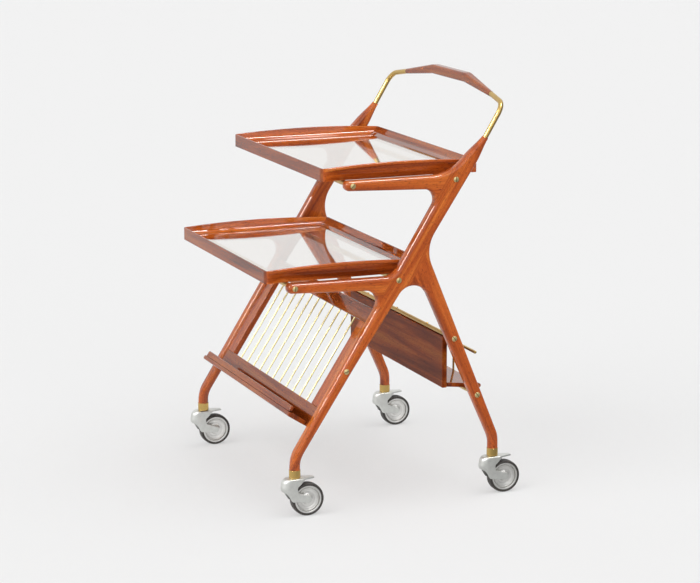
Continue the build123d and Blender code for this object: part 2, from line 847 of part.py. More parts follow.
def bin_pins():
    """Round-headed pins through the upper rod into the front panel."""
    (y, z), _ = bin_rods()
    top = z + bin_rod_radius
    bottom = z - bin_rod_radius - bin_pin_reach
    group = []
    for x in bin_pin_places():
        head = upright(x, y, top, top + bin_pin_head_height, bin_pin_head)
        group.append(upright(x, y, bottom, top, bin_pin_radius) + head)
    return Compound(group)


def bin_front_panel():
    """Upright panel hung under the upper rod."""
    (y, z), _ = bin_rods()
    top = z - bin_rod_radius - bin_seat_gap
    half = bin_panel_thickness / 2
    panel = block(-bin_half, bin_half, y - half, y + half, top - bin_panel_height, top)
    for x in bin_pin_places():
        panel -= upright(x, y, top - bin_pin_reach, top + 1, bin_pin_radius + fit_clearance)
    return panel


def floor_underside(y):
    """Height of the bin floor's underside, which rests on the lower rod."""
    _, (rod_y, rod_z) = bin_rods()
    slope = math.radians(bin_floor_slope)
    touch = rod_z + (bin_rod_radius + bin_seat_gap) / math.cos(slope)
    return touch - (y - rod_y) * math.tan(slope)


def bin_floor():
    """Sloping floor board from the front panel to a rounded rear edge."""
    (panel_y, _), _ = bin_rods()
    front = panel_y + bin_panel_thickness / 2
    rise = bin_floor_thickness / math.cos(math.radians(bin_floor_slope))
    corners = [
        (front, floor_underside(front), 0),
        (bin_floor_rear, floor_underside(bin_floor_rear), bin_floor_round),
        (bin_floor_rear, floor_underside(bin_floor_rear) + rise, bin_floor_round),
        (front, floor_underside(front) + rise, 0),
    ]
    board = side_prism(corners, -bin_half, bin_half)
    for x in gallery_post_places():
        board -= upright(x, gallery_y, post_seat(), gallery_height, gallery_post_radius + fit_clearance)
    return board


def gallery_post_places():
    """X of the posts under the bin's rear rail."""
    return [-gallery_post_spacing, 0, gallery_post_spacing]


def post_seat():
    """Height of the bottom of a post, sunk in the bin floor."""
    rise = bin_floor_thickness / math.cos(math.radians(bin_floor_slope))
    return floor_underside(gallery_y) + rise - gallery_post_tenon


def gallery_rail():
    """Thin rail behind the bin, bored from below for its posts."""
    bar = rod(gallery_y, gallery_height, -gallery_half, gallery_half, gallery_radius)
    below = gallery_height - 2 * gallery_radius
    for x in gallery_post_places():
        bar -= upright(x, gallery_y, below, gallery_height, gallery_post_radius + fit_clearance)
    return bar


def gallery_posts():
    """Posts that carry the rear rail."""
    posts = [
        upright(x, gallery_y, post_seat(), gallery_height, gallery_post_radius)
        for x in gallery_post_places()
    ]
    return Compound(posts)


def write_frame():
    """Side frames, ferrules, rods, screws and castor stems."""
    for side in ("left", "right"):
        write(f"side_frame_{side}", side_frame(side))
    for end, y in stem_y.items():
        for side, x in stem_x.items():
            write(f"ferrule_{end}_{side}", ferrule(x, y))
            write(f"castor_stem_{end}_{side}", castor_stem(x, y))
    for name, (y, z) in tray_rods.items():
        write(f"tray_rod_{name}", cross_rod(y, z, tray_rod_radius))
    write("side_screws", side_screws())


def write_handle():
    """The push handle."""
    for side in ("left", "right"):
        write(f"handle_tube_{side}", handle_tube(side))
    write("handle_grip", handle_grip())


def write_rack():
    """The magazine rack."""
    write("rack_bottom_rail", rack_rail(rack_foot, rack_foot + rack_rail_height))
    write("rack_top_rail", rack_rail(rack_top - rack_head_height, rack_top))
    for side in ("left", "right"):
        write(f"rack_stile_{side}", rack_stile(side))
    write("rack_rods", Compound(rack_rods(rack_rod_radius, rack_rod_tenon)))
    write("rack_ledge", rack_ledge())
    write("rack_lip", rack_lip())


def write_bin():
    """The bin behind the rack."""
    write("bin_upper_rod", bin_upper_rod())
    _, (lower_y, lower_z) = bin_rods()
    write("bin_lower_rod", cross_rod(lower_y, lower_z, bin_rod_radius))
    write("bin_front_panel", bin_front_panel())
    write("bin_panel_pins", bin_pins())
    write("bin_floor", bin_floor())
    write("bin_gallery_rail", gallery_rail())
    write("bin_gallery_posts", gallery_posts())


def write_tray(name, front, rod_height):
    """One lift-off tray."""
    base = rod_height + tray_rod_radius + seat_gap
    rear = front + tray_depth
    write(f"{name}_tray_front_rail", cross_rail(front, base, front_rail_width, front, 1))
    write(f"{name}_tray_rear_rail", cross_rail(front, base, rear_rail_width, rear, -1))
    for side in ("left", "right"):
        write(f"{name}_tray_side_rail_{side}", side_rail(front, base, side))
    write(f"{name}_tray_glass", tray_glass(front, base))


def write_castors():
    """Four swivel castors."""
    for end, y in stem_y.items():
        for side, x in stem_x.items():
            write(f"castor_hood_{end}_{side}", castor_hood(x, y))
            write(f"castor_axle_{end}_{side}", castor_axle(x, y))
            write(f"castor_tyre_{end}_{side}", castor_tyre(x, y))
            write(f"castor_disc_{end}_{side}", castor_disc(x, y))


os.makedirs("parts", exist_ok=True)
write_frame()
write_handle()
write_rack()
write_bin()
write_tray("upper", upper_tray_front, upper_arm_height)
write_tray("lower", lower_tray_front, lower_arm_height)
write_castors()
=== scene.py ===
import math

import bmesh
import bpy
import numpy as np
from bpy.props import FloatProperty, FloatVectorProperty, PointerProperty
from bpy.types import Operator, Panel, PropertyGroup
from mathutils import Euler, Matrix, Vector


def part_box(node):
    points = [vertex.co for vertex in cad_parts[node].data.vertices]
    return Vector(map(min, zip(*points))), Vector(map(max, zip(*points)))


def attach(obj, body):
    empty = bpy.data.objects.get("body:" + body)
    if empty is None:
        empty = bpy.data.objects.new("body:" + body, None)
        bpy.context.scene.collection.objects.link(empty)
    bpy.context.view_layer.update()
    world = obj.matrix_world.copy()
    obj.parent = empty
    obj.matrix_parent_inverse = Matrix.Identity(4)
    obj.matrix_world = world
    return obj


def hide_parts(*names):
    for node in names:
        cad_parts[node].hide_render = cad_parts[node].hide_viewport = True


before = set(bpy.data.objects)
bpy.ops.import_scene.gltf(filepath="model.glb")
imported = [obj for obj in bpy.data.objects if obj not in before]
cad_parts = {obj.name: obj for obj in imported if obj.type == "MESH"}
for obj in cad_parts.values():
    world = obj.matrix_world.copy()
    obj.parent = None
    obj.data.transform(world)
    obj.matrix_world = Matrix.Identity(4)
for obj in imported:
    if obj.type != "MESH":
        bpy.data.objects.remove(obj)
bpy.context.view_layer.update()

bl_info = {
    "name": "Bar cart dressing",
    "version": (1, 0, 0),
    "blender": (4, 5, 0),
    "location": "3D View > Sidebar > Bar cart",
    "description": "Builds the visible pieces and finishes of a bar cart round its packed model",
    "category": "Object",
}

# Shapes are worked out in millimetres. Y is counted from the middle of the wheelbase, and
# object_of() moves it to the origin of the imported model.
MM = 0.001
SIDES = {"left": -1.0, "right": 1.0}
ENDS = ("front", "rear")
LEVELS = ("upper", "lower")


def node_box(node):
    """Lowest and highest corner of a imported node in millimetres, Y from the model's own origin."""
    low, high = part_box(node)
    return np.array(low) / MM, np.array(high) / MM


ORIGIN_Y = float(np.mean([np.mean(node_box(f"ferrule_{end}_left"), axis=0)[1] for end in ENDS]))


def node_span(node):
    """As node_box, with Y counted from the middle of the wheelbase."""
    shift = np.array([0.0, ORIGIN_Y, 0.0])
    low, high = node_box(node)
    return low - shift, high - shift


def node_centre(node):
    """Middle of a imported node's box in millimetres."""
    return np.mean(node_span(node), axis=0)


def linear(hex_colour):
    """An sRGB hex colour turned to linear light: below 0.04045 divided by 12.92, else a 2.4 power."""
    value = np.array([int(hex_colour[i:i + 2], 16) for i in (1, 3, 5)]) / 255
    return tuple(np.where(value <= 0.04045, value / 12.92, ((value + 0.055) / 1.055) ** 2.4))


def length(title, text, default):
    """A length property whose default is given in millimetres."""
    return FloatProperty(
        name=title, description=text, default=default * MM, min=0.0, unit="LENGTH", subtype="DISTANCE", precision=4
    )


def tint(title, text, hex_colour):
    """A colour property whose default is given as sRGB hex."""
    return FloatVectorProperty(
        name=title, description=text, default=linear(hex_colour), size=3, min=0.0, max=1.0, subtype="COLOR"
    )


class CartSizes(PropertyGroup):
    """Sizes of the visible pieces."""

    frame_thickness: length("Frame thickness", "Thickness of the side frames", 22.0)
    frame_edge: length("Frame edge round", "Rounding along the edges of the side frames", 7.0)
    arm_depth: length("Arm depth", "Depth of the tray arms", 18.8)
    spine_width: length("Spine width", "Width of the leaning spine above the legs", 35.5)
    leg_width: length("Front leg width", "Width of the front leg under the lower arm", 33.8)
    calf_width: length("Calf width", "Width of the front leg at mid height", 23.0)
    waist_depth: length("Waist depth", "Depth where the rear leg joins the spine", 19.8)
    foot_radius: length("Foot radius", "Radius of the turned feet", 10.25)
    neck_radius: length("Neck radius", "Radius of the turned top of each stile", 6.0)
    ferrule_radius: length("Ferrule radius", "Outer radius of the brass ferrules", 11.0)
    rail_height: length("Rail height", "Height of the tray rails at the corners", 24.5)
    rail_crown: length("Rail crown", "How far the side rails rise at their middle", 6.0)
    rail_round: length("Rail round", "Rounding along the top edges of the tray rails", 2.2)
    glass_arris: length("Glass arris", "Rounding along the polished edges of the glass", 0.8)
    board_ease: length("Board ease", "Rounding along the edges of the flat boards", 1.6)
    tube_radius: length("Handle tube radius", "Radius of the brass handle tubes", 5.0)
    grip_end: length("Grip end depth", "Depth of the wooden grip at its ends", 10.8)
    grip_crest: length("Grip crest height", "Height of the wooden grip at its crest", 18.8)
    screw_radius: length("Screw head radius", "Radius of the brass screw heads", 5.3)
    screw_slot: length("Screw slot", "Width of the slots in the screw heads", 1.3)


class CartColours(PropertyGroup):
    """Colours of the finishes and the stage."""

    wood_light: tint("Mahogany light", "Lightest bands of the polished mahogany", "#d9792f")
    wood_mid: tint("Mahogany", "Main colour of the polished mahogany", "#b9561d")
    wood_dark: tint("Mahogany dark", "Darkest bands of the polished mahogany", "#7c3210")
    wood_pore: tint("Mahogany pores", "Filled pores of the mahogany", "#3a140a")
    brass: tint("Brass", "Polished and lacquered brass", "#cfae6a")
    pale_brass: tint("Pale brass", "Brass of the thin rack rods and screws", "#e6d49c")
    zinc: tint("Zinc plate", "Satin zinc plating on the castors", "#dcddd9")
    disc: tint("Wheel disc", "Turned and polished aluminium", "#ecebe8")
    rubber: tint("Rubber", "Black rubber tyres", "#2f2b28")
    # Painted shade: the slot colour darkens the floors of the screw slots, where shade falls.
    slot: tint("Slot", "Tarnish and wax in the screw slots", "#2a1d10")
    glass: tint("Glass", "Clear float glass", "#fbfcfa")
    film: tint("Film on the glass", "Sheen of the glass at a low angle", "#fbf8f5")
    floor: tint("Floor", "Pale studio floor and backdrop", "#f2f2f2")


def size(name):
    """A size from the panel, in millimetres."""
    return getattr(bpy.context.scene.cart_sizes, name) / MM


def shade(name):
    """A colour from the panel, as four numbers."""
    return (*getattr(bpy.context.scene.cart_colours, name), 1.0)


# Curves and surfaces


def unit(vectors):
    """Each vector divided by its length."""
    return vectors / np.maximum(np.linalg.norm(vectors, axis=-1, keepdims=True), 1e-12)


def smooth(share):
    """Eases from 0 to 1: three times the square less twice the cube."""
    share = np.clip(share, 0.0, 1.0)
    return share * share * (3 - 2 * share)


def rounded(corners, steps=8, closed=True):
    """Straight runs joined by arcs that touch both: a corner's arc has its centre at radius over the
    sine of half the corner's angle, along the bisector. Every rounded corner gets steps + 1 points."""
    table = np.array(corners, float)
    points, radii = table[:, :2], table[:, 2:]
    back = unit(np.roll(points, 1, 0) - points)
    ahead = unit(np.roll(points, -1, 0) - points)
    half = np.arccos(np.clip(np.sum(back * ahead, axis=1, keepdims=True), -1, 1)) / 2
    middle = points + unit(back + ahead) * radii / np.sin(half)
    arm = points + back * radii / np.tan(half) - middle
    turn = np.pi - 2 * half
    way = np.sign(back[:, :1] * ahead[:, 1:] - back[:, 1:] * ahead[:, :1]) * -1
    angle = np.linspace(0, 1, steps + 1)[None] * turn * way
    arc = middle[:, None] + np.stack([
        arm[:, :1] * np.cos(angle) - arm[:, 1:] * np.sin(angle),
        arm[:, :1] * np.sin(angle) + arm[:, 1:] * np.cos(angle),
    ], axis=-1)
    last = len(corners) - 1
    parts = [
        points[i:i + 1] if radii[i, 0] == 0 or (not closed and i in (0, last)) else arc[i]
        for i in range(len(corners))
    ]
    return np.vstack(parts)


def inward_of(line, closed=False):
    """Normals to the right of the way a line runs, halfway between those of its two runs."""
    if closed:
        tangent = unit(np.roll(line, -1, 0) - line) + unit(line - np.roll(line, 1, 0))
    else:
        runs = unit(np.diff(line, axis=0))
        tangent = np.vstack([runs[:1], runs[1:] + runs[:-1], runs[-1:]])
    tangent = unit(tangent)
    return np.stack([tangent[:, 1], -tangent[:, 0]], axis=1)


def edge_rows(line, inward, half, radius, steps=7):
    """Rows of points over a rounded edge on both faces of a plate: for an angle from -90 to 90
    degrees, the line moves in by radius less radius times the cosine, and across by the half
    thickness less the radius, plus radius times the sine. Returns (across, along, up) rows."""
    quarter = np.radians(np.linspace(0, 90, steps + 1))
    angle = np.concatenate([-quarter[::-1], quarter])[:, None]
    face = np.concatenate([-np.ones(steps + 1), np.ones(steps + 1)])[:, None]
    half, radius = (np.broadcast_to(value, len(line)) for value in (half, radius))
    move = radius * (1 - np.cos(angle))
    across = face * (half - radius) + radius * np.sin(angle)
    flat = line[None] + inward[None] * move[..., None]
    return np.concatenate([across[..., None], flat], axis=-1)


def grid_faces(rows, columns, wrap_columns=False, start=0):
    """Quads between neighbours of a grid whose points are numbered row by row."""
    across = columns if wrap_columns else columns - 1
    row, column = np.meshgrid(np.arange(rows - 1), np.arange(across), indexing="ij")
    right = (column + 1) % columns
    quads = np.stack([
        row * columns + column, row * columns + right, (row + 1) * columns + right, (row + 1) * columns + column
    ], axis=-1)
    return (quads.reshape(-1, 4) + start).tolist()


def loft(sections):
    """Closed sections (sections, points, 3) joined in order, with a flat face on each end."""
    count, points, _ = sections.shape
    faces = grid_faces(count, points, wrap_columns=True)
    faces.append(list(range(points)))
    faces.append(list(range((count - 1) * points, count * points)))
    return sections.reshape(-1, 3), faces


def clockwise(line):
    """A closed line turned round, if need be, so that its inside is on its right."""
    area = np.sum(line[:, 0] * np.roll(line[:, 1], -1) - np.roll(line[:, 0], -1) * line[:, 1])
    return line[::-1] if area > 0 else line


def eased_prism(outline, x_from, x_to, ease):
    """A closed (Y, Z) outline carried along X, with all its edges rounded by the same radius."""
    line = clockwise(outline)
    rows = edge_rows(line, inward_of(line, closed=True), (x_to - x_from) / 2, ease, steps=4)
    rows[..., 0] += (x_from + x_to) / 2
    return loft(rows)


def tube(path, radius, sides=28):
    """A round bar along a path: rings of the radius, square to the path, with no twist."""
    path = np.asarray(path, float)
    runs = unit(np.diff(path, axis=0))
    tangent = unit(np.vstack([runs[:1], runs[1:] + runs[:-1], runs[-1:]]))
    normal = np.empty_like(tangent)
    normal[0] = unit(np.cross(tangent[0], [0.3, 0.9, 0.1]))
    for i in range(1, len(path)):
        normal[i] = unit(normal[i - 1] - tangent[i] * np.dot(normal[i - 1], tangent[i]))
    side = np.cross(tangent, normal)
    angle = np.linspace(0, 2 * np.pi, sides, endpoint=False)[None, :, None]
    radius = np.broadcast_to(np.asarray(radius, float), (len(path),))[:, None, None]
    rings = path[:, None] + radius * (np.cos(angle) * normal[:, None] + np.sin(angle) * side[:, None])
    return loft(rings)


def turned(profile, centre, axis, sides=72, closed=True):
    """A profile of (along, radius) points turned about an axis through a centre: closed, or open with
    both ends on the axis."""
    profile = np.asarray(profile, float)
    angle = np.linspace(0, 2 * np.pi, sides, endpoint=False)[:, None]
    along = np.broadcast_to(profile[:, 0], (sides, len(profile)))
    first = profile[:, 1] * np.cos(angle)
    second = profile[:, 1] * np.sin(angle)
    order = {"X": (along, first, second), "Z": (first, second, along)}[axis]
    rings = np.stack(order, axis=-1) + np.asarray(centre, float)
    columns = len(profile)
    points = np.concatenate([rings, rings[:1]]).reshape(-1, 3)
    return points, grid_faces(sides + 1, columns, wrap_columns=closed)


def cleaned(mesh):
    """Merges doubled points, drops slivers and turns all faces outward."""
    build = bmesh.new()
    build.from_mesh(mesh)
    bmesh.ops.remove_doubles(build, verts=build.verts, dist=2e-6)
    bmesh.ops.dissolve_degenerate(build, edges=build.edges, dist=1e-6)
    bmesh.ops.recalc_face_normals(build, faces=build.faces)
    build.to_mesh(mesh)
    build.free()


def object_of(name, shape):
    """A shape as a mesh object in metres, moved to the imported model's origin."""
    points, faces = shape
    placed = (np.asarray(points, float) + np.array([0.0, ORIGIN_Y, 0.0])) * MM
    mesh = bpy.data.meshes.new(name)
    mesh.from_pydata(placed.tolist(), [], faces)
    cleaned(mesh)
    made = bpy.data.objects.new(name, mesh)
    bpy.context.scene.collection.objects.link(made)
    return made


def piece(name, shape, finish_name, node, body="frame", crease=32.0, pocket=None):
    """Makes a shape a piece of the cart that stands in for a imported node: smooth except at creases
    sharper than the angle, and less the shape of a pocket if it has one."""
    made = object_of(name, shape)
    mesh = made.data
    mesh.shade_smooth()
    mesh.set_sharp_from_angle(angle=math.radians(crease))
    mesh.validate()
    mesh.materials.append(finish(finish_name))
    if pocket:
        hollow(made, pocket)
    even = made.modifiers.new("even_normals", "WEIGHTED_NORMAL")
    even.keep_sharp = True
    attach(made, body)
    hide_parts(node)
    return made


def merged(shapes):
    """Several shapes as one: points stacked, faces renumbered."""
    points, faces, start = [], [], 0
    for shape_points, shape_faces in shapes:
        points.append(np.asarray(shape_points, float))
        faces += [[index + start for index in face] for face in shape_faces]
        start += len(shape_points)
    return np.vstack(points), faces


def dress(node, finish_name):
    """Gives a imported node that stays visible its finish."""
    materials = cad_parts[node].data.materials
    materials.clear()
    materials.append(finish(finish_name))


# Materials


def add_node(tree, kind, links=(), **settings):
    """Adds a shader node, sets its properties and its sockets (in_NAME), and links (socket, output)
    pairs to its inputs."""
    node = tree.nodes.new(f"ShaderNode{kind}")
    for key, value in settings.items():
        if key.startswith("in_"):
            name = key[3:].replace("_", " ")
            node.inputs[int(name) if name.isdigit() else name].default_value = value
        else:
            setattr(node, key, value)
    for socket, output in links:
        tree.links.new(output, node.inputs[socket])
    return node


def new_material(name, surface, *values):
    """A node material whose surface is the shader that a function builds in its tree."""
    material = bpy.data.materials.new(name)
    material.use_nodes = True
    tree = material.node_tree
    tree.nodes.clear()
    add_node(tree, "OutputMaterial", [("Surface", surface(tree, *values))])
    return material


def scaled(name, share):
    """A colour from the panel with its light multiplied by a share, which may be over 1."""
    return (*(share * part for part in shade(name)[:3]), 1.0)


def ramp(tree, value, stops):
    """A colour ramp with (place, colour) stops."""
    node = add_node(tree, "ValToRGB", [("Fac", value)])
    while len(node.color_ramp.elements) < len(stops):
        node.color_ramp.elements.new(0.5)
    for element, (place, colour) in zip(node.color_ramp.elements, stops):
        element.position = place
        element.color = colour
    return node.outputs["Color"]


def grain_space(tree, turn):
    """Object coordinates turned so that Z runs along the grain."""
    place = add_node(tree, "TexCoord").outputs["Object"]
    return add_node(tree, "Mapping", [("Vector", place)], in_Rotation=turn).outputs["Vector"]


def stretched(tree, vector, across, along, seed=(0.0, 0.0, 0.0)):
    """Coordinates scaled to one noise cell per given millimetres across and along the grain."""
    scale = (1 / (across * MM), 1 / (across * MM), 1 / (along * MM))
    return add_node(tree, "Mapping", [("Vector", vector)], in_Scale=scale, in_Location=seed).outputs["Vector"]


SPINE_LEAN, REAR_LEAN = 32.9, -22.9


def leaning(angle):
    """Rotation that brings a grain leaning by an angle from Z towards Y back to Z."""
    return (math.radians(angle), 0.0, 0.0)


UPRIGHT = (0.0, 0.0, 0.0)
ALONG_X = (0.0, math.radians(-90.0), 0.0)
ALONG_Y = (math.radians(90.0), 0.0, 0.0)


# In metres: a point on a line in Y and Z with the line's slope, and heights.
CROTCH_LINE = (0.0389, 0.4606, 0.0189 / 0.0348)
SPINE_LINE = (-0.007, 0.4468, 0.0985 / 0.1602)
REAR_LEG_TOP, ARM_BASE, GRAIN_EASE = 0.5, 0.416, 0.004


def limb_grain(tree):
    """Grain space of a side frame: along the arms in front of the spine, down the rear leg behind
    the line through the crotch, and along the spine and front leg elsewhere."""
    spine = grain_space(tree, leaning(SPINE_LEAN))
    rear = grain_space(tree, leaning(REAR_LEAN))
    arm = grain_space(tree, ALONG_Y)
    place = add_node(tree, "TexCoord").outputs["Object"]
    axes = add_node(tree, "SeparateXYZ", [("Vector", place)])

    def above(value, height):
        """1 above a height, 0 below it, eased over 8 mm."""
        return add_node(
            tree, "MapRange", [("Value", value)], interpolation_type="SMOOTHSTEP",
            in_From_Min=height - GRAIN_EASE, in_From_Max=height + GRAIN_EASE,
        ).outputs["Result"]

    def behind(y_zero, z_zero, slope):
        """1 behind a line in Y and Z, 0 in front."""
        offset = add_node(
            tree, "Math", [(0, axes.outputs["Z"])], operation="MULTIPLY_ADD",
            in_1=-slope, in_2=slope * z_zero - (y_zero + ORIGIN_Y * MM),
        ).outputs[0]
        total = add_node(tree, "Math", [(0, axes.outputs["Y"]), (1, offset)], operation="ADD")
        return above(total.outputs[0], 0.0)

    def product(one, other):
        """Where both are 1."""
        return add_node(tree, "Math", [(0, one), (1, other)], operation="MULTIPLY").outputs[0]

    def outside(mask):
        """Where a mask is 0."""
        return add_node(tree, "Math", [(1, mask)], operation="SUBTRACT", in_0=1.0).outputs[0]

    height = axes.outputs["Z"]
    rear_mask = product(behind(*CROTCH_LINE), outside(above(height, REAR_LEG_TOP)))
    arm_mask = product(outside(behind(*SPINE_LINE)), above(height, ARM_BASE))
    with_rear = add_node(tree, "Mix", [("Factor", rear_mask), (4, spine), (5, rear)], data_type="VECTOR")
    return add_node(
        tree, "Mix", [("Factor", arm_mask), (4, with_rear.outputs[1]), (5, arm)], data_type="VECTOR"
    ).outputs[1]


def mahogany(tree, grain, seed, depth=1.0, polish=1.0):
    """Mahogany, planed, stained and French polished: broad ribbons 18 mm wide that run with the grain,
    fine streaks of about 1.4 mm and short filled pores, under a clear glossy film. The pores of the
    real wood are 0.2 mm wide, and are drawn 0.5 mm wide so that they show. A depth under 1 darkens
    all the colours, which for the bin's panel is painted shade, and a polish under 1 gives a thinner film."""
    space = grain(tree) if callable(grain) else grain_space(tree, grain)
    ribbon = add_node(
        tree, "TexNoise", [("Vector", stretched(tree, space, 18, 320, (seed, 0.3, 0.0)))],
        in_Scale=1.0, in_Detail=3.0, in_Roughness=0.55, in_Distortion=0.35,
    ).outputs["Fac"]
    streak = add_node(
        tree, "TexNoise", [("Vector", stretched(tree, space, 1.4, 70, (seed, 2.0, 0.0)))],
        in_Scale=1.0, in_Detail=2.0, in_Roughness=0.6,
    ).outputs["Fac"]
    pore = add_node(
        tree, "TexNoise", [("Vector", stretched(tree, space, 0.5, 7, (seed, 5.0, 0.0)))],
        in_Scale=1.0, in_Detail=0.0,
    ).outputs["Fac"]
    tones = ((0.3, "wood_dark"), (0.5, "wood_mid"), (0.72, "wood_light"))
    # A depth under 1 darkens every colour of the ramp; for the bin's panel this is painted shade.
    base = ramp(tree, ribbon, [(place, scaled(tone, depth)) for place, tone in tones])
    streak_tone = ramp(tree, streak, [(0.36, (0.62, 0.54, 0.5, 1)), (0.6, (1.0, 1.0, 1.0, 1))])
    toned = add_node(
        tree, "Mix", [(6, base), (7, streak_tone)], data_type="RGBA", blend_type="MULTIPLY", in_Factor=0.55
    ).outputs[2]
    pore_mask = add_node(tree, "MapRange", [("Value", pore)], in_From_Min=0.66, in_From_Max=0.76).outputs["Result"]
    coloured = add_node(
        tree, "Mix", [("Factor", pore_mask), (6, toned)], data_type="RGBA", in_7=shade("wood_pore")
    ).outputs[2]
    dull = add_node(tree, "MapRange", [("Value", streak)], in_To_Min=0.3, in_To_Max=0.42).outputs["Result"]
    relief = add_node(
        tree, "Bump", [("Height", pore_mask)], invert=True, in_Strength=0.25, in_Distance=0.0001
    ).outputs["Normal"]
    return add_node(
        tree, "BsdfPrincipled", [("Base Color", coloured), ("Roughness", dull), ("Normal", relief)],
        in_IOR=1.5, in_Specular_IOR_Level=0.0, in_Coat_Weight=polish, in_Coat_Roughness=0.04, in_Coat_IOR=1.5,
    ).outputs["BSDF"]


def drawn_metal(tree, colour, roughness, spread, grain, across, along, relief_depth):
    """Metal with fine marks left by drawing, turning or plating: noise stretched along the marks
    changes how sharp the reflections are and lifts the surface by microns, and a cloudy tone of about
    10 mm breaks up the colour. The marks are drawn 1 to 6 mm wide, coarser than real ones, to show."""
    space = grain_space(tree, grain)
    marks = add_node(
        tree, "TexNoise", [("Vector", stretched(tree, space, across, along))], in_Scale=1.0, in_Detail=2.0
    ).outputs["Fac"]
    cloud = add_node(
        tree, "TexNoise", [("Vector", stretched(tree, space, 9, 14))], in_Scale=1.0, in_Detail=3.0
    ).outputs["Fac"]
    dull = add_node(
        tree, "MapRange", [("Value", marks)], in_From_Min=0.3, in_From_Max=0.7,
        in_To_Min=roughness - spread, in_To_Max=roughness + spread,
    ).outputs["Result"]
    tone = ramp(tree, cloud, [(0.3, scaled(colour, 0.9)), (0.65, shade(colour))])
    relief = add_node(
        tree, "Bump", [("Height", marks)], in_Strength=0.3, in_Distance=relief_depth * MM
    ).outputs["Normal"]
    return add_node(
        tree, "BsdfPrincipled", [("Base Color", tone), ("Roughness", dull), ("Normal", relief)], in_Metallic=1.0
    ).outputs["BSDF"]


def rubber(tree):
    """Black vulcanised rubber, moulded: dull, with a fine bloom that greys it in patches."""
    place = add_node(tree, "TexCoord").outputs["Object"]
    bloom = add_node(tree, "TexNoise", [("Vector", place)], in_Scale=140.0, in_Detail=4.0).outputs["Fac"]
    tone = ramp(tree, bloom, [(0.35, shade("rubber")), (0.75, scaled("rubber", 2.2))])
    grit = add_node(tree, "TexNoise", [("Vector", place)], in_Scale=1800.0).outputs["Fac"]
    relief = add_node(tree, "Bump", [("Height", grit)], in_Strength=0.2, in_Distance=0.0001)
    return add_node(
        tree, "BsdfPrincipled", [("Base Color", tone), ("Normal", relief.outputs["Normal"])],
        in_Roughness=0.55, in_IOR=1.52,
    ).outputs["BSDF"]


def float_glass(tree):
    """Clear float glass with polished edges: sharp reflections, and a waviness of 60 mm that only shows
    in them. The photograph's glass mirrors the bright backdrop more strongly at a low angle than bare
    glass does, as an old sheet with a film of polish on it, so a mirror is mixed in towards that angle."""
    place = add_node(tree, "TexCoord").outputs["Object"]
    wave = add_node(tree, "TexNoise", [("Vector", place)], in_Scale=16.0, in_Detail=0.0).outputs["Fac"]
    relief = add_node(tree, "Bump", [("Height", wave)], in_Strength=0.02, in_Distance=0.0005)
    glass = add_node(
        tree, "BsdfPrincipled", [("Normal", relief.outputs["Normal"])],
        in_Base_Color=shade("glass"), in_Roughness=0.0, in_IOR=1.52, in_Transmission_Weight=1.0,
    )
    slant = add_node(tree, "LayerWeight", in_Blend=0.5)
    share = add_node(
        tree, "MapRange", [("Value", slant.outputs["Facing"])], interpolation_type="SMOOTHSTEP",
        in_From_Min=0.55, in_From_Max=0.95, in_To_Max=0.85,
    )
    film = add_node(tree, "BsdfAnisotropic", in_Color=shade("film"), in_Roughness=0.05)
    return add_node(
        tree, "MixShader",
        [(0, share.outputs["Result"]), (1, glass.outputs["BSDF"]), (2, film.outputs["BSDF"])],
    ).outputs[0]


# Per finish: its slot, the material's name, its builder and what the builder takes.
FINISHES = {
    "frame_wood": ("mahogany", "mahogany_side_frame", mahogany, limb_grain, 0.0),
    "cross_wood": ("mahogany", "mahogany_cross_boards", mahogany, ALONG_X, 4.0, 0.62),
    # Painted shade: the bin's panel stands in shade under the trays, so its mahogany is darkened to half.
    "shaded_boards": ("mahogany", "mahogany_shaded_boards", mahogany, ALONG_X, 21.0, 0.5, 0.35),
    "grip_wood": ("mahogany", "mahogany_grip", mahogany, ALONG_X, 27.0, 0.62),
    "rail_wood": ("mahogany", "mahogany_side_rails", mahogany, ALONG_Y, 9.0),
    "stile_wood": ("mahogany", "mahogany_stiles", mahogany, leaning(SPINE_LEAN), 13.0),
    "rod_brass": ("brass", "drawn_brass_rod", drawn_metal, "brass", 0.3, 0.03, ALONG_X, 2.0, 60, 0.002),
    "rack_brass": (
        "brass", "drawn_brass_rack_rod", drawn_metal, "pale_brass", 0.3, 0.03, leaning(SPINE_LEAN), 2.0, 60, 0.001
    ),
    "turned_brass": ("brass", "turned_brass", drawn_metal, "brass", 0.18, 0.03, UPRIGHT, 6, 0.7, 0.002),
    "screw_brass": ("brass", "turned_brass_screw", drawn_metal, "pale_brass", 0.5, 0.04, ALONG_X, 2.0, 2.0, 0.004),
    # Painted shade on the floors of the screw slots: a dark, dull brass.
    "slot_painted_shade": ("brass", "painted_shade_in_slots", drawn_metal, "slot", 0.6, 0.05, ALONG_X, 1.0, 1.0, 0.01),
    "plated_zinc": ("castor_zinc", "satin_zinc_plate", drawn_metal, "zinc", 0.46, 0.05, ALONG_X, 1.6, 1.6, 0.008),
    "turned_aluminium": ("wheel_metal", "turned_aluminium", drawn_metal, "disc", 0.38, 0.03, ALONG_X, 6, 3, 0.001),
    "rubber": ("tyre", "moulded_rubber", rubber),
    "glass": ("glass", "float_glass", float_glass),
}
MADE = {}


def finish(name):
    """A finish by its plain name, made the first time that it is asked for."""
    if name not in MADE:
        MADE[name] = new_material(*FINISHES[name][1:])
    return MADE[name]


# Side frames


def along(start, end, height):
    """Y at a height on the line through two (Y, Z) points."""
    return start[0] + (height - start[1]) / (end[1] - start[1]) * (end[0] - start[0])


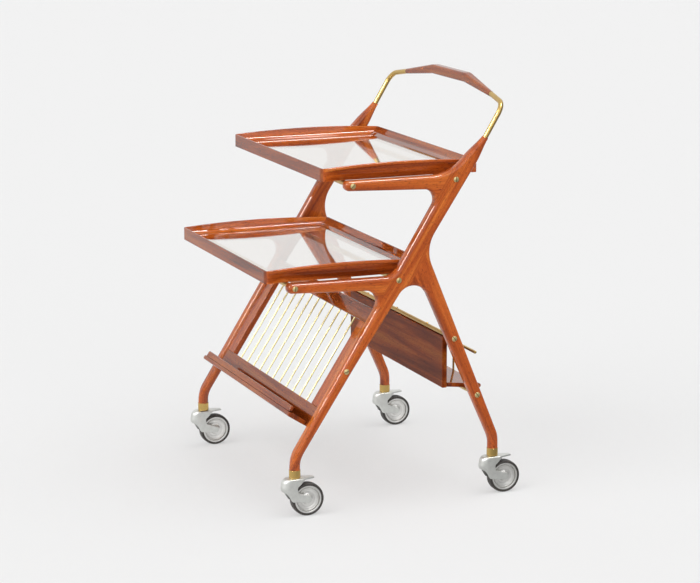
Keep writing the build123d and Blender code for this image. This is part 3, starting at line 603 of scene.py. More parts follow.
FRAME_X = 268.0
TRAY_ROD_RADIUS, BIN_ROD_RADIUS, BIN_RAIL_RADIUS = 5.0, 4.0, 3.0
FERRULE_TO_BEND = 22.0
BEND_HEIGHT = node_span("ferrule_front_left")[1][2] + FERRULE_TO_BEND
FRONT_BEND = (node_centre("ferrule_front_left")[1], BEND_HEIGHT)
REAR_BEND = (node_centre("ferrule_rear_left")[1], BEND_HEIGHT)
LOWER_ARM = node_centre("tray_rod_lower_rear")[2]
UPPER_ARM = node_centre("tray_rod_upper_rear")[2]
LOWER_KNOT = (6.2, LOWER_ARM)
UPPER_KNOT = (120.0, UPPER_ARM)
LOWER_TIP, UPPER_TIP = -219.7, -105.6
CALF_DROP = 160.0
WAIST_RISE, WAIST_SET_BACK, WAIST_SPREAD = 38.6, 18.3, 17.8
WAIST_HEIGHT = LOWER_ARM + WAIST_RISE
WAIST = (along(LOWER_KNOT, UPPER_KNOT, WAIST_HEIGHT) + WAIST_SET_BACK, WAIST_HEIGHT)
STILE_END = (182.2, 699.2)
GRIP_END = (225.5, 771.0)
LEG_LEAN = math.atan2(LOWER_KNOT[0] - FRONT_BEND[0], LOWER_ARM - BEND_HEIGHT)
STILE_LEAN = math.atan2(GRIP_END[0] - STILE_END[0], GRIP_END[1] - STILE_END[1])
STILE_HALF = 8.5
NECK_LENGTH = 52.0
FOOT_TUCK = 12.0
FOOT_BEND = 20.75
UNDER_ARM = 8.0
FOOT_STEPS = 14
NECK_STEPS = 12
NEARLY_ROUND = 0.97


def frame_chains():
    """The side frame's outline as three open lines of (Y, Z) points: up the front to the stile's end,
    down the back to the rear foot, and under the arch to the front foot."""
    half_arm = size("arm_depth") / 2
    half_spine = size("spine_width") / 2
    foot = size("foot_radius")
    outer = FOOT_BEND / math.tan(LEG_LEAN / 2)
    inner = outer - 2 * foot
    base = BEND_HEIGHT - FERRULE_TO_BEND - FOOT_TUCK
    calf = LOWER_ARM - CALF_DROP
    crotch = LOWER_ARM - half_arm - UNDER_ARM
    armpit = UPPER_ARM - half_arm - UNDER_ARM
    elbow = LOWER_ARM + half_arm - 2.0
    shoulder = UPPER_ARM + half_arm
    end_y = STILE_HALF * math.cos(STILE_LEAN)
    end_z = STILE_HALF * math.sin(STILE_LEAN)
    tip = half_arm - 0.4
    front = [
        (FRONT_BEND[0] - foot, base, 0),
        (FRONT_BEND[0] - foot, BEND_HEIGHT, outer),
        (along(FRONT_BEND, LOWER_KNOT, crotch) - size("leg_width") / 2, crotch, 24),
        (LOWER_TIP, LOWER_ARM - half_arm, tip),
        (LOWER_TIP, LOWER_ARM + half_arm, tip),
        (along(LOWER_KNOT, UPPER_KNOT, elbow) - half_spine, elbow, 30),
        (along(LOWER_KNOT, UPPER_KNOT, armpit) - half_spine, armpit, 21),
        (UPPER_TIP, UPPER_ARM - half_arm, tip),
        (UPPER_TIP, UPPER_ARM + half_arm, tip),
        (along(LOWER_KNOT, UPPER_KNOT, shoulder) - half_spine, shoulder, 90),
        (STILE_END[0] - end_y, STILE_END[1] + end_z, 0),
    ]
    back = [
        (STILE_END[0] + end_y, STILE_END[1] - end_z, 0),
        (WAIST[0] + size("waist_depth") / 2, WAIST[1] + WAIST_SPREAD, 65),
        (REAR_BEND[0] + foot, BEND_HEIGHT, outer),
        (REAR_BEND[0] + foot, base, 0),
    ]
    under = [
        (REAR_BEND[0] - foot, base, 0),
        (REAR_BEND[0] - foot, BEND_HEIGHT, inner),
        (WAIST[0] - size("waist_depth") / 2, WAIST[1] - WAIST_SPREAD, 33),
        (along(FRONT_BEND, LOWER_KNOT, calf) + size("calf_width") / 2, calf, 600),
        (FRONT_BEND[0] + foot, BEND_HEIGHT, inner),
        (FRONT_BEND[0] + foot, base, 0),
    ]
    return [rounded(chain, steps=FOOT_STEPS, closed=False) for chain in (front, back, under)]


def with_neck(line, at_end):
    """Adds evenly spaced points to the run beside the stile's end."""
    if not at_end:
        return with_neck(line[::-1], True)[::-1]
    way = unit(line[-2] - line[-1])
    distance = np.linspace(NECK_LENGTH, 0, NECK_STEPS + 1)[:, None]
    return np.vstack([line[:-1], line[-1] + way * distance])


def side_frame(x):
    """A plate with rounded edges, turned round at its two feet and at the top of the stile. Beside
    an end, the half thickness and the edge's radius ease from the plate's to the turned radius, and
    the faces there are strips between facing points; elsewhere each face is one polygon."""
    front, back, under = frame_chains()
    front = with_neck(front, True)
    back = with_neck(back, False)
    chains = [front, back, under]
    counts = [len(chain) for chain in chains]
    pairs = FOOT_STEPS + 2
    necks = NECK_STEPS + 1
    foot = 1 - smooth((np.arange(pairs) - 1) / (pairs - 2))
    neck = smooth(np.linspace(0, 1, necks))
    starts = np.cumsum([0, *counts])
    foot_share, neck_share = np.zeros(starts[-1]), np.zeros(starts[-1])
    for start in (0, starts[2]):
        foot_share[start:start + pairs] = foot
    for end in starts[2:]:
        foot_share[end - pairs:end] = foot[::-1]
    neck_share[starts[1] - necks:starts[1]] = neck
    neck_share[starts[1]:starts[1] + necks] = neck[::-1]
    half, edge = size("frame_thickness") / 2, size("frame_edge")
    foot_radius, neck_radius = size("foot_radius"), size("neck_radius")
    half_at = half + (foot_radius - half) * foot_share + (neck_radius - half) * neck_share
    edge_at = edge + (NEARLY_ROUND * foot_radius - edge) * foot_share
    edge_at += (NEARLY_ROUND * neck_radius - edge) * neck_share
    line = np.vstack(chains)
    inward = np.vstack([inward_of(chain) for chain in chains])
    line = line + inward * ((STILE_HALF - neck_radius) * neck_share)[:, None]
    rows = edge_rows(line, inward, half_at, edge_at)
    rows[..., 0] += x
    total = len(line)
    numbers = [np.arange(starts[i], starts[i + 1]) for i in range(3)]
    depth = len(rows)
    faces = []
    for chain in numbers:
        down = np.arange(depth - 1)[:, None] * total
        a, b = chain[:-1][None] + down, chain[1:][None] + down
        faces += np.stack([a, b, b + total, a + total], axis=-1).reshape(-1, 4).tolist()
    front_n, back_n, under_n = numbers
    facing = [
        (front_n[:pairs], under_n[::-1][:pairs]),
        (under_n[:pairs], back_n[::-1][:pairs]),
        (front_n[::-1][:necks], back_n[:necks]),
    ]
    level = np.arange(depth) * total
    for one, other in facing:
        for row in (0, (depth - 1) * total):
            strip = np.stack([one[:-1], one[1:], other[1:], other[:-1]], axis=1) + row
            faces += strip.tolist()
        faces.append((one[0] + level).tolist() + (other[0] + level[::-1]).tolist())
    middle = np.concatenate([
        front_n[pairs - 1:counts[0] - necks + 1],
        back_n[necks - 1:counts[1] - pairs + 1],
        under_n[pairs - 1:counts[2] - pairs + 1],
    ])
    for row in (0, (depth - 1) * total):
        faces.append((middle + row).tolist())
    return rows.reshape(-1, 3), faces


def ferrule(centre, base, top):
    """A turned brass cup: upright wall, softened foot and a thin rounded lip."""
    radius = size("ferrule_radius")
    bore = size("foot_radius") + 0.08
    section = rounded([
        (base, 4.2, 0), (base, radius, 1.2), (top, radius, 0.32), (top, bore, 0), (base + 3.5, bore, 0),
        (base + 3.5, 4.2, 0),
    ], steps=5)
    return turned(section, centre, "Z")


def rod_between(x_from, x_to, y, z, radius, ease=0.5):
    """A straight round bar along X with softly broken ends."""
    section = rounded(
        [(x_from, 0, 0), (x_from, radius, ease), (x_to, radius, ease), (x_to, 0, 0)], steps=4, closed=False
    )
    return turned(section, (0, y, z), "X", sides=32, closed=False)


def frame_rods(rods, radius):
    """Rods let 0.5 mm into both side frames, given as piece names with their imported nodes."""
    reach = FRAME_X - size("frame_thickness") / 2 + 0.5
    for name, node in rods.items():
        piece(name, rod_between(-reach, reach, *node_centre(node)[1:], radius), "rod_brass", node)


def screw_places():
    """(Y, Z, slot angle) of the screws: at the tray rods, the bin rods and the rack."""
    rods = {"tray_rod_upper_front": 50, "tray_rod_upper_rear": 95, "tray_rod_lower_front": 85,
            "tray_rod_lower_rear": 70, "bin_upper_rod": 125, "bin_lower_rod": 130}
    places = [(*node_centre(node)[1:], angle) for node, angle in rods.items()]
    rack, _ = in_rack(([RACK_SCREW], []))
    return [*places, (*rack[0, 1:], 20)]


SCREW_RIM, SCREW_DOME, SCREW_ROOT = 0.3, 1.3, -0.9
SLOT_FLOOR, SLOT_SHARE = 0.1, 0.97


def screw_head():
    """A slotted oval head as two half-moons and a bar under the slot, in (out, across, along) of its
    own: it stands out by its rim plus its dome, which falls with the square of the radius."""
    radius = size("screw_radius")
    slot = size("screw_slot") / 2
    reach = math.sqrt(radius ** 2 - slot ** 2) * np.sin(np.radians(np.linspace(-86, 86, 15)))[:, None]
    outer = np.sqrt(radius ** 2 - reach ** 2)
    across = slot + (outer - slot) * np.linspace(0, 1, 8)[None]
    out = SCREW_RIM + SCREW_DOME * (1 - (across ** 2 + reach ** 2) / radius ** 2)
    floor = np.full_like(reach, SCREW_ROOT)
    low = np.stack([floor, np.full_like(reach, slot), reach], axis=-1)
    high = np.stack([floor, outer, reach], axis=-1)
    dome = np.stack([out, across, np.broadcast_to(reach, out.shape)], axis=-1)
    moon, faces = loft(np.concatenate([low, dome, high], axis=1))
    corners = np.array([(SCREW_ROOT, slot), (SLOT_FLOOR, slot), (SLOT_FLOOR, -slot), (SCREW_ROOT, -slot)])
    reach = SLOT_SHARE * radius
    bar = np.stack([np.column_stack([corners, np.full(4, end)]) for end in (-reach, reach)])
    return merged([(moon, faces), (moon * np.array([1.0, -1.0, 1.0]), faces), loft(bar)])


def screws():
    """The heads of all the screws, turned to their slot angles and set on the frames' outer faces."""
    points, faces = screw_head()
    shapes = []
    for way in SIDES.values():
        face = way * (FRAME_X + size("frame_thickness") / 2)
        for y, z, angle in screw_places():
            sine, cosine = math.sin(math.radians(angle)), math.cos(math.radians(angle))
            spot_y = y - points[:, 1] * sine + points[:, 2] * cosine
            spot_z = z + points[:, 1] * cosine + points[:, 2] * sine
            shapes.append((np.stack([face + way * points[:, 0], spot_y, spot_z], axis=1), faces))
    return merged(shapes)


class CART_OT_side_frames(Operator):
    """Two shaped side frames with turned feet and necks"""

    bl_idname = "cart.side_frames"
    bl_label = "Side frames"

    def execute(self, context):
        for side in SIDES:
            node = f"side_frame_{side}"
            shape = side_frame(node_centre(f"ferrule_front_{side}")[0])
            piece(f"frame_{side}", shape, "frame_wood", node, crease=50)
        return {"FINISHED"}


class CART_OT_fittings(Operator):
    """Brass ferrules, tray rods and slotted screws"""

    bl_idname = "cart.fittings"
    bl_label = "Brass fittings"

    def execute(self, context):
        for side in SIDES:
            for end in ENDS:
                node = f"ferrule_{end}_{side}"
                low, high = node_span(node)
                shape = ferrule((*((low + high) / 2)[:2], 0), low[2], high[2])
                piece(f"cup_{end}_{side}", shape, "turned_brass", node)
        rods = {f"rod_{level}_{end}": f"tray_rod_{level}_{end}" for level in LEVELS for end in ENDS}
        frame_rods(rods, TRAY_ROD_RADIUS)
        made = piece("screw_heads", screws(), "screw_brass", "side_screws")
        # The second finish paints shade on the floors of the screw slots.
        made.data.materials.append(finish("slot_painted_shade"))
        slot_floor(made.data)
        return {"FINISHED"}


def slot_floor(mesh):
    """Gives the second finish, a painted shade, to the faces that lie in the slots, below the heads' rims."""
    plane = FRAME_X + size("frame_thickness") / 2 + 0.15

    def across(name):
        """The X part of a vector of every face, without its sign."""
        values = np.empty(3 * len(mesh.polygons))
        mesh.polygons.foreach_get(name, values)
        return np.abs(values.reshape(-1, 3)[:, 0])

    sunk = (np.abs(across("center") / MM - plane) < 0.2) & (across("normal") > 0.9)
    mesh.polygons.foreach_set("material_index", sunk.astype(np.int32))


# Handle

GRIP_HALF = 200.0
GRIP_CREST = 77.0
GRIP_DEPTH = 21.0
GRIP_BELLY = 14.0
GRIP_LEAN = 7.0
GRIP_EASE = 0.05
GRIP_CORNER, GRIP_CORNER_GAIN = 5.2, 0.4
TUBE_BEND = 26.0
TUBE_DROOP, TUBE_LEAD, TUBE_OVERLAP = 11.0, 6.0, 2.0


def grip_rings():
    """Sections of the grip along X, rounded rectangles. From each end to the crest, the depth, height,
    corner radius, underside and set back change in a straight line, which is eased into the level
    crest with a parabola over a twentieth of its length on each side."""
    near_crest = np.linspace(-GRIP_CREST - 6, GRIP_CREST + 6, 61)
    place = np.union1d(np.linspace(-GRIP_HALF, GRIP_HALF, 121), near_crest)
    reach = (GRIP_HALF - np.abs(place)) / (GRIP_HALF - GRIP_CREST)
    eased = 1 - np.clip(1 + GRIP_EASE - reach, 0, None) ** 2 / (4 * GRIP_EASE)
    share = np.where(reach < 1 - GRIP_EASE, reach, eased)[:, None]
    end = size("grip_end")
    depth = end + (GRIP_DEPTH - end) * share
    height = end + (size("grip_crest") - end) * share
    corner = GRIP_CORNER + GRIP_CORNER_GAIN * share
    middle = GRIP_END[1] - end / 2 + GRIP_BELLY * share + height / 2
    angle = np.radians(np.concatenate([np.linspace(turn, turn + 90, 7) for turn in (0, 90, 180, 270)]))
    back = np.repeat([1.0, -1.0, -1.0, 1.0], 7)
    up = np.repeat([1.0, 1.0, -1.0, -1.0], 7)
    y = GRIP_END[0] + GRIP_LEAN * share + back * (depth / 2 - corner) + corner * np.cos(angle)
    z = middle + up * (height / 2 - corner) + corner * np.sin(angle)
    return np.stack([np.broadcast_to(place[:, None], y.shape), y, z], axis=-1)


def arced(points, radius, steps=16):
    """A path of straight runs with an arc at each corner, in space. An arc starts at the radius times
    the tangent of half the turn before the corner; its points go on by the radius times the sine and
    aside by the radius times one less the cosine."""
    points = np.array(points, float)
    before = unit(points[1:-1] - points[:-2])
    after = unit(points[2:] - points[1:-1])
    turn = np.arccos(np.clip(np.sum(before * after, axis=1, keepdims=True), -1, 1))
    start = points[1:-1] - before * radius * np.tan(turn / 2)
    aside = unit(after - before * np.cos(turn))
    angle = (turn * np.linspace(0, 1, steps + 1))[..., None]
    arc = start[:, None] + radius * (np.sin(angle) * before[:, None] + (1 - np.cos(angle)) * aside[:, None])
    return np.vstack([points[:1], arc.reshape(-1, 3), points[-1:]])


def handle_path(way):
    """The middle line of a handle tube: up the stile's line, an arc, a gentle climb towards
    the grip, and a short run along the grip's own axis into its end."""
    start = np.array([way * FRAME_X, *STILE_END])
    corner = np.array([way * FRAME_X, GRIP_END[0] - math.tan(STILE_LEAN) * TUBE_DROOP, GRIP_END[1] - TUBE_DROOP])
    end = np.array([way * GRIP_HALF, *GRIP_END])
    crest_middle = GRIP_END[1] - size("grip_end") / 2 + GRIP_BELLY + size("grip_crest") / 2
    axis = unit(end - np.array([way * GRIP_CREST, GRIP_END[0] + GRIP_LEAN, crest_middle]))
    overlap = unit(corner - start) * TUBE_OVERLAP
    return arced([start - overlap, corner, end + axis * TUBE_LEAD, end - axis * TUBE_OVERLAP], TUBE_BEND)


class CART_OT_handle(Operator):
    """Bent brass tubes and the shaped wooden grip"""

    bl_idname = "cart.handle"
    bl_label = "Push handle"

    def execute(self, context):
        for side, way in SIDES.items():
            shape = tube(handle_path(way), size("tube_radius"), sides=36)
            piece(f"handle_bend_{side}", shape, "rod_brass", f"handle_tube_{side}")
        piece("grip", loft(grip_rings()), "grip_wood", "handle_grip", crease=60)
        return {"FINISHED"}


# Trays

TRAY_DEPTH = 319.0
TRAY_CORNER = 11.0
SIDE_IN, FRONT_IN, REAR_IN = 24.0, 20.0, 35.0
GLASS_TOP = 11.5
GLASS_LEDGE = 6.5
GLASS_SEAT = 6.0


def stations(total, near=16.0):
    """Shares along a rail, closer together within a few millimetres of its ends."""
    end = near / total
    return np.concatenate([
        np.linspace(0, end, 13)[:-1], np.linspace(end, 1 - end, 41), np.linspace(1 - end, 1, 13)[1:]
    ])[:, None]


def rail_profile(width, outer, top):
    """Closed outline of a rail as (inward, up) points: foot, outer face, lip, inner cove and ledge."""
    return rounded([
        (width + GLASS_SEAT, 0, 0),
        *outer,
        (0.0, top, size("rail_round")),
        (4.2, top, 1.2),
        (width * 0.5, GLASS_TOP + 3.2, 10.0),
        (width, GLASS_TOP, 0),
        (width, GLASS_LEDGE, 0),
        (width + GLASS_SEAT, GLASS_LEDGE, 0),
    ], steps=6)


def side_profile(crown, undercut):
    """Outline of a side rail, whose outer face leans in to its foot under a lip 5.5 mm high."""
    top = size("rail_height") + crown
    outer = [(7.0 * undercut, 0, 0.8), (4.5 * undercut, top - 7.5, 1.2), (0.0, top - 5.5, 1.0)]
    return rail_profile(SIDE_IN - GLASS_SEAT, outer, top)


def corner_pull(x, y, half, depth):
    """Draws points outside the tray's rounded corners onto the arc, towards its centre."""
    a = TRAY_CORNER - (half - np.abs(x))
    b = TRAY_CORNER - np.minimum(y, depth - y)
    far = np.hypot(a, b)
    outside = (a > 0) & (b > 0) & (far > TRAY_CORNER)
    scale = np.where(outside, TRAY_CORNER / np.maximum(far, 1e-9), 1.0)
    new_x = np.where(outside, np.sign(x) * (half - TRAY_CORNER + a * scale), x)
    inset = TRAY_CORNER - b * scale
    new_y = np.where(outside, np.where(y < depth / 2, inset, depth - inset), y)
    return new_x, new_y


def side_rail(way, half, front, base):
    """Side rail: the plain outline plus the crown's share, one less the square of the place from the
    middle, and the undercut's share, which eases in over the first 30 mm from each end."""
    share = stations(TRAY_DEPTH)
    plain = side_profile(0.0, 0.12)
    crowned = side_profile(size("rail_crown"), 0.12) - plain
    cut = side_profile(0.0, 1.0) - plain
    rise = (1 - (2 * share - 1) ** 2)[..., None]
    ease = smooth(np.minimum(share, 1 - share) * TRAY_DEPTH / 30.0)[..., None]
    outline = plain[None] + rise * crowned[None] + ease * cut[None]
    inward, up = outline[..., 0], outline[..., 1]
    near = inward * FRONT_IN / SIDE_IN
    far = TRAY_DEPTH - inward * REAR_IN / SIDE_IN
    y = near + share * (far - near)
    x, y = corner_pull(way * (half - inward), y, half, TRAY_DEPTH)
    return loft(np.stack([x, front + y, base + up], axis=-1))


def cross_rail(depth, half, front, base, at_front):
    """Front or rear rail between its two mitres."""
    share = stations(2 * half)
    outline = rail_profile(depth - GLASS_SEAT, [(0.0, 0, 1.4)], size("rail_height"))
    inward, up = outline[None, :, 0], outline[None, :, 1]
    mitre = SIDE_IN / depth
    x = (2 * share - 1) * (half - inward * mitre)
    inward = np.broadcast_to(inward, x.shape)
    y = inward if at_front else TRAY_DEPTH - inward
    x, y = corner_pull(x, y, half, TRAY_DEPTH)
    return loft(np.stack([x, front + y, base + np.broadcast_to(up, x.shape)], axis=-1))


def slab(node, corner, ease):
    """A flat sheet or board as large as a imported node, with rounded corners and eased edges."""
    low, high = node_span(node)
    outline = rounded([
        (low[1], low[2], ease), (high[1], low[2], ease), (high[1], high[2], ease), (low[1], high[2], ease)
    ], steps=4)
    return eased_prism(outline, low[0], high[0], corner)


class CART_OT_trays(Operator):
    """Two lift-off trays: mitred rails round a sheet of glass"""

    bl_idname = "cart.trays"
    bl_label = "Trays"

    def execute(self, context):
        for level in LEVELS:
            body = f"{level}_tray"
            front, base = node_span(f"{level}_tray_front_rail")[0][1:]
            half = node_span(f"{level}_tray_side_rail_right")[1][0]
            for side, way in SIDES.items():
                name = f"{level}_tray_side_rail_{side}"
                shape = side_rail(way, half, front, base)
                piece(f"{level}_rim_{side}", shape, "rail_wood", name, body)
            for place, depth in (("front", FRONT_IN), ("rear", REAR_IN)):
                shape = cross_rail(depth, half, front, base, place == "front")
                node = f"{level}_tray_{place}_rail"
                piece(f"{level}_rim_{place}", shape, "cross_wood", node, body)
            node = f"{level}_tray_glass"
            shape = slab(node, size("glass_arris"), size("glass_arris"))
            piece(f"{level}_glass_sheet", shape, "glass", node, body)
        return {"FINISHED"}


# Magazine rack

RACK_HALF = 256.9
RACK_BACK, RACK_FACE = -5.0, 6.0
RACK_ROD_PITCH = 37.2
RACK_SCREW = (0.0, 189.0, 2.0)


def in_rack(shape):
    """Moves a shape from the rack's own directions, (X, up the leg, out from it), into place."""
    points, faces = shape
    x, place, out = np.asarray(points, float).T
    y = FRONT_BEND[0] + place * math.sin(LEG_LEAN) - out * math.cos(LEG_LEAN)
    z = FRONT_BEND[1] + place * math.cos(LEG_LEAN) + out * math.sin(LEG_LEAN)
    return np.stack([x, y, z], axis=1), faces


def rack_board(x_from, x_to, place_from, place_to, out_from, out_to, rounds, ease):
    """A board of the rack; rounds are the radii of its four long edges, from the low back one round."""
    outline = rounded([
        (place_from, out_from, rounds[0]), (place_from, out_to, rounds[1]),
        (place_to, out_to, rounds[2]), (place_to, out_from, rounds[3]),
    ], steps=5)
    return in_rack(eased_prism(outline, x_from, x_to, ease))


class CART_OT_rack(Operator):
    """Sloping magazine rack: rails, stiles, brass rods, shelf and lip"""

    bl_idname = "cart.rack"
    bl_label = "Magazine rack"

    def execute(self, context):
        ease = size("board_ease")
        edges = [ease] * 4
        back, face, inner = RACK_BACK, RACK_FACE, RACK_HALF
        boards = {
            "rack_bottom_rail": (-inner, inner, 61.8, 103.8, back, face, edges, 0.4),
            "rack_top_rail": (-inner, inner, 286.8, 316.8, back, face, [ease, ease, 3.0, 3.0], 0.4),
            "rack_stile_left": (-inner, -inner + 35, 103.9, 286.7, back, face, [0.3] * 4, 0.9),
            "rack_stile_right": (inner - 35, inner, 103.9, 286.7, back, face, [0.3] * 4, 0.9),
            "rack_ledge": (-247, 247, 61.8, 70.8, face, face + 42, [0.3, 3.4, 3.4, 0.3], 1.6),
            "rack_lip": (-240, 240, 70.8, 82.3, face + 34, face + 41, [0.3, 0.3, 3.1, 3.1], 1.6),
        }
        for node, values in boards.items():
            wood = "stile_wood" if "stile" in node else "cross_wood"
            piece(node.replace("rack_", "rack_board_"), rack_board(*values), wood, node)
        rods = []
        for x in RACK_ROD_PITCH * np.arange(-5, 6):
            points, faces = tube([(x, 101.0, 0.5), (x, 195.0, 0.5), (x, 290.0, 0.5)], 1.7, sides=20)
            rods.append(in_rack((points, faces)))
        piece("rack_bars", merged(rods), "rack_brass", "rack_rods")
        return {"FINISHED"}


# Bin

FLOOR_SLOPE = math.radians(6.7)
FLOOR_THICKNESS = 8.5
POST_SPREAD, PIN_SPREAD = 130.0, 150.0


def upright_pin(x, y, low, high):
    """A round post 4 mm thick."""
    section = rounded([(low, 0, 0), (low, 2.0, 0.2), (high, 2.0, 0.2), (high, 0, 0)], steps=3, closed=False)
    return turned(section, (x, y, 0), "Z", sides=24, closed=False)


def headed_pin(x, y, low, high):
    """A pin with a domed head 1.4 mm high."""
    neck = high - 1.4
    section = rounded([
        (low, 0, 0), (low, 1.5, 0.2), (neck, 1.5, 0), (neck, 2.6, 0.2), (high, 2.3, 1.0), (high, 0, 0)
    ], steps=4, closed=False)
    return turned(section, (x, y, 0), "Z", sides=24, closed=False)


class CART_OT_bin(Operator):
    """Bin behind the rack: front panel, sloping floor, rods and rear rail"""

    bl_idname = "cart.bin"
    bl_label = "Rear bin"

    def execute(self, context):
        ease = size("board_ease")
        shape = slab("bin_front_panel", ease, ease)
        # The panel's mahogany is darkened to half as painted shade.
        piece("bin_panel_board", shape, "shaded_boards", "bin_front_panel")
        low, high = node_span("bin_floor")
        rise = FLOOR_THICKNESS / math.cos(FLOOR_SLOPE)
        drop = (high[1] - low[1]) * math.tan(FLOOR_SLOPE)
        outline = rounded([
            (low[1], low[2] + drop, 0.3), (high[1], low[2], 3.9), (high[1], low[2] + rise, 3.9),
            (low[1], low[2] + drop + rise, 0.3),
        ], steps=6)
        shape = eased_prism(outline, low[0], high[0], 1.2)
        piece("bin_floor_board", shape, "cross_wood", "bin_floor")
        frame_rods({f"bin_rod_{level}": f"bin_{level}_rod" for level in LEVELS}, BIN_ROD_RADIUS)
        low, high = node_span("bin_gallery_rail")
        shape = rod_between(low[0], high[0], *node_centre("bin_gallery_rail")[1:], BIN_RAIL_RADIUS, ease=2.0)
        piece("bin_rail_rear", shape, "rod_brass", "bin_gallery_rail")
        for name, node, pin, spread in (
            ("bin_posts_rear", "bin_gallery_posts", upright_pin, POST_SPREAD),
            ("bin_pins_panel", "bin_panel_pins", headed_pin, PIN_SPREAD),
        ):
            low, high = node_span(node)
            y = (low[1] + high[1]) / 2
            pins = [pin(x, y, low[2], high[2]) for x in (-spread, 0.0, spread)]
            piece(name, merged(pins), "turned_brass", node)
        return {"FINISHED"}


# Castors

HOOD_NOSE, HOOD_HALF, HOOD_EDGE = 28.5, 13.1, 1.6
POCKET_NOSE, POCKET_HALF, POCKET_EDGE = 26.0, 10.8, 0.3
LIP_REACH = 38.0
NOSE_FADE = 26.0


def hood_outline(stem_y, top, axle_y, axle_z):
    """Side view of a hood: blunt nose, comma-shaped cheek to a round end at the axle, open throat
    and a thin lip behind the stem."""
    return rounded([
        (stem_y - 25.0, top, 10.0),
        (stem_y - HOOD_NOSE, axle_z + 21.0, 14.0),
        (stem_y - 10.0, axle_z - 1.5, 12.0),
        (axle_y + 6.0, axle_z - 6.0, 5.9),
        (axle_y + 6.0, axle_z + 6.0, 5.9),
        (axle_y - 20.5, axle_z + 15.5, 2.5),
        (axle_y - 23.0, axle_z + 26.0, 6.0),
        (axle_y - 9.0, top - 9.0, 8.0),
        (stem_y + LIP_REACH, top - 3.2, 1.0),
        (stem_y + LIP_REACH, top, 1.0),
    ], steps=8)


def pressed(line, centre_x, half, edge, nose, tongue=None):
    """A closed (Y, Z) outline carried across a castor with its edges rounded. Seen from above the nose
    is a half circle: a section beside the middle has its nose pushed back by the circle's own rise,
    which fades over the next 26 mm. A tongue (start, end, height, half width) narrows to its end."""
    quarter = np.radians(np.linspace(0, 90, 7))
    inset = edge * (1 - np.cos(quarter))
    reach = half - edge + edge * np.sin(quarter)
    flat = np.linspace(-(half - edge), half - edge, 21)[1:-1]
    across = np.concatenate([-reach[::-1], flat, reach])[:, None]
    move = np.concatenate([inset[::-1], np.zeros(19), inset])[:, None, None]
    section = line[None] + inward_of(line, closed=True)[None] * move
    y, z = section[..., 0], section[..., 1]
    push = half - np.sqrt(np.maximum(half ** 2 - across ** 2, 0))
    y = y + push * (1 - smooth((y - nose) / NOSE_FADE))
    if tongue:
        start, end, height, tip = tongue
        share = np.clip((half - np.abs(across)) / (half - tip), 0.06, 1)
        y = y - smooth((z - height) / 5.0) * (1 - share) * np.clip(y - start, 0, end - start)
    return loft(np.stack([np.broadcast_to(centre_x + across, y.shape), y, z], axis=-1))


def hood(stem, axle, top):
    """Pressed hood: two flat cheeks, a round nose and a lip that narrows to a tongue 9 mm wide."""
    line = clockwise(hood_outline(stem[1], top, axle[1], axle[2]))
    tongue = (stem[1] + 9.0, stem[1] + LIP_REACH, top - 13.0, 4.5)
    return pressed(line, stem[0], HOOD_HALF, HOOD_EDGE, stem[1] - HOOD_NOSE, tongue)


def hood_pocket(stem, under):
    """The space that the wheel turns in, rounded in front like the hood."""
    nose, tail = stem[1] - POCKET_NOSE, stem[1] + 80
    outline = rounded([(nose, -6, 1), (tail, -6, 1), (tail, under, 1), (nose, under, 10)], steps=8)
    return pressed(clockwise(outline), stem[0], POCKET_HALF, POCKET_EDGE, nose)


def hollow(made, shape):
    """Cuts a shape out of an object and keeps the result as the object's own mesh."""
    cutter = object_of("cutter", shape)
    cut = made.modifiers.new("pocket", "BOOLEAN")
    cut.operation = "DIFFERENCE"
    cut.solver = "EXACT"
    cut.object = cutter
    view = bpy.context.evaluated_depsgraph_get()
    result = bpy.data.meshes.new_from_object(made.evaluated_get(view))
    made.modifiers.remove(cut)
    cleaned(result)
    made.data = result
    result.set_sharp_from_angle(angle=math.radians(32))
    bpy.data.objects.remove(cutter)


def tyre(centre):
    """Rubber tyre: a band with rounded shoulders and a shallow crown."""
    section = rounded([(-9, 27.1, 0.5), (9, 27.1, 0.5), (9, 31.4, 2.6), (0, 32.0, 60), (-9, 31.4, 2.6)], steps=8)
    return turned(section, centre, "X", sides=96)


def disc(centre):
    """Turned wheel disc: hub, dished web with fine concentric grooves, a deep groove and a raised rim."""
    half = [
        (10.0, 3.1), (10.0, 7.4), (9.5, 8.3), (6.4, 9.4), (5.2, 10.4), (4.7, 12.0), (4.6, 13.6), (3.9, 14.0),
        (3.9, 14.4), (4.8, 14.9), (5.3, 17.0), (5.6, 18.6), (5.0, 19.1), (5.0, 19.5), (6.0, 20.0), (6.4, 21.2),
        (5.4, 22.0), (3.4, 22.3), (3.4, 23.2), (5.6, 23.5), (7.6, 23.9), (8.0, 24.5), (8.0, 26.4), (7.5, 27.0),
    ]
    right = np.array(half)
    left = right[::-1] * np.array([-1.0, 1.0])
    return turned(np.vstack([right, left]), centre, "X", sides=96)


class CART_OT_castors(Operator):
    """Four swivel castors with turned wheels and rubber tyres"""

    bl_idname = "cart.castors"
    bl_label = "Castors"

    def execute(self, context):
        for end in ENDS:
            for side in SIDES:
                place = f"{end}_{side}"
                centre = node_centre(f"castor_axle_{place}")
                wheel = f"wheel_{place}"
                piece(f"tyre_{place}", tyre(centre), "rubber", f"castor_tyre_{place}", wheel)
                piece(f"disc_{place}", disc(centre), "turned_aluminium", f"castor_disc_{place}", wheel, crease=28)
                stem = node_centre(f"castor_stem_{place}")
                node = f"castor_hood_{place}"
                top = node_span(node)[1][2]
                piece(
                    f"hood_{place}", hood(stem, centre, top), "plated_zinc", node, f"castor_{place}",
                    pocket=hood_pocket(stem, top - 3.0),
                )
                for inner_node in ("castor_axle", "castor_stem"):
                    dress(f"{inner_node}_{place}", "plated_zinc")
        return {"FINISHED"}


# Stage

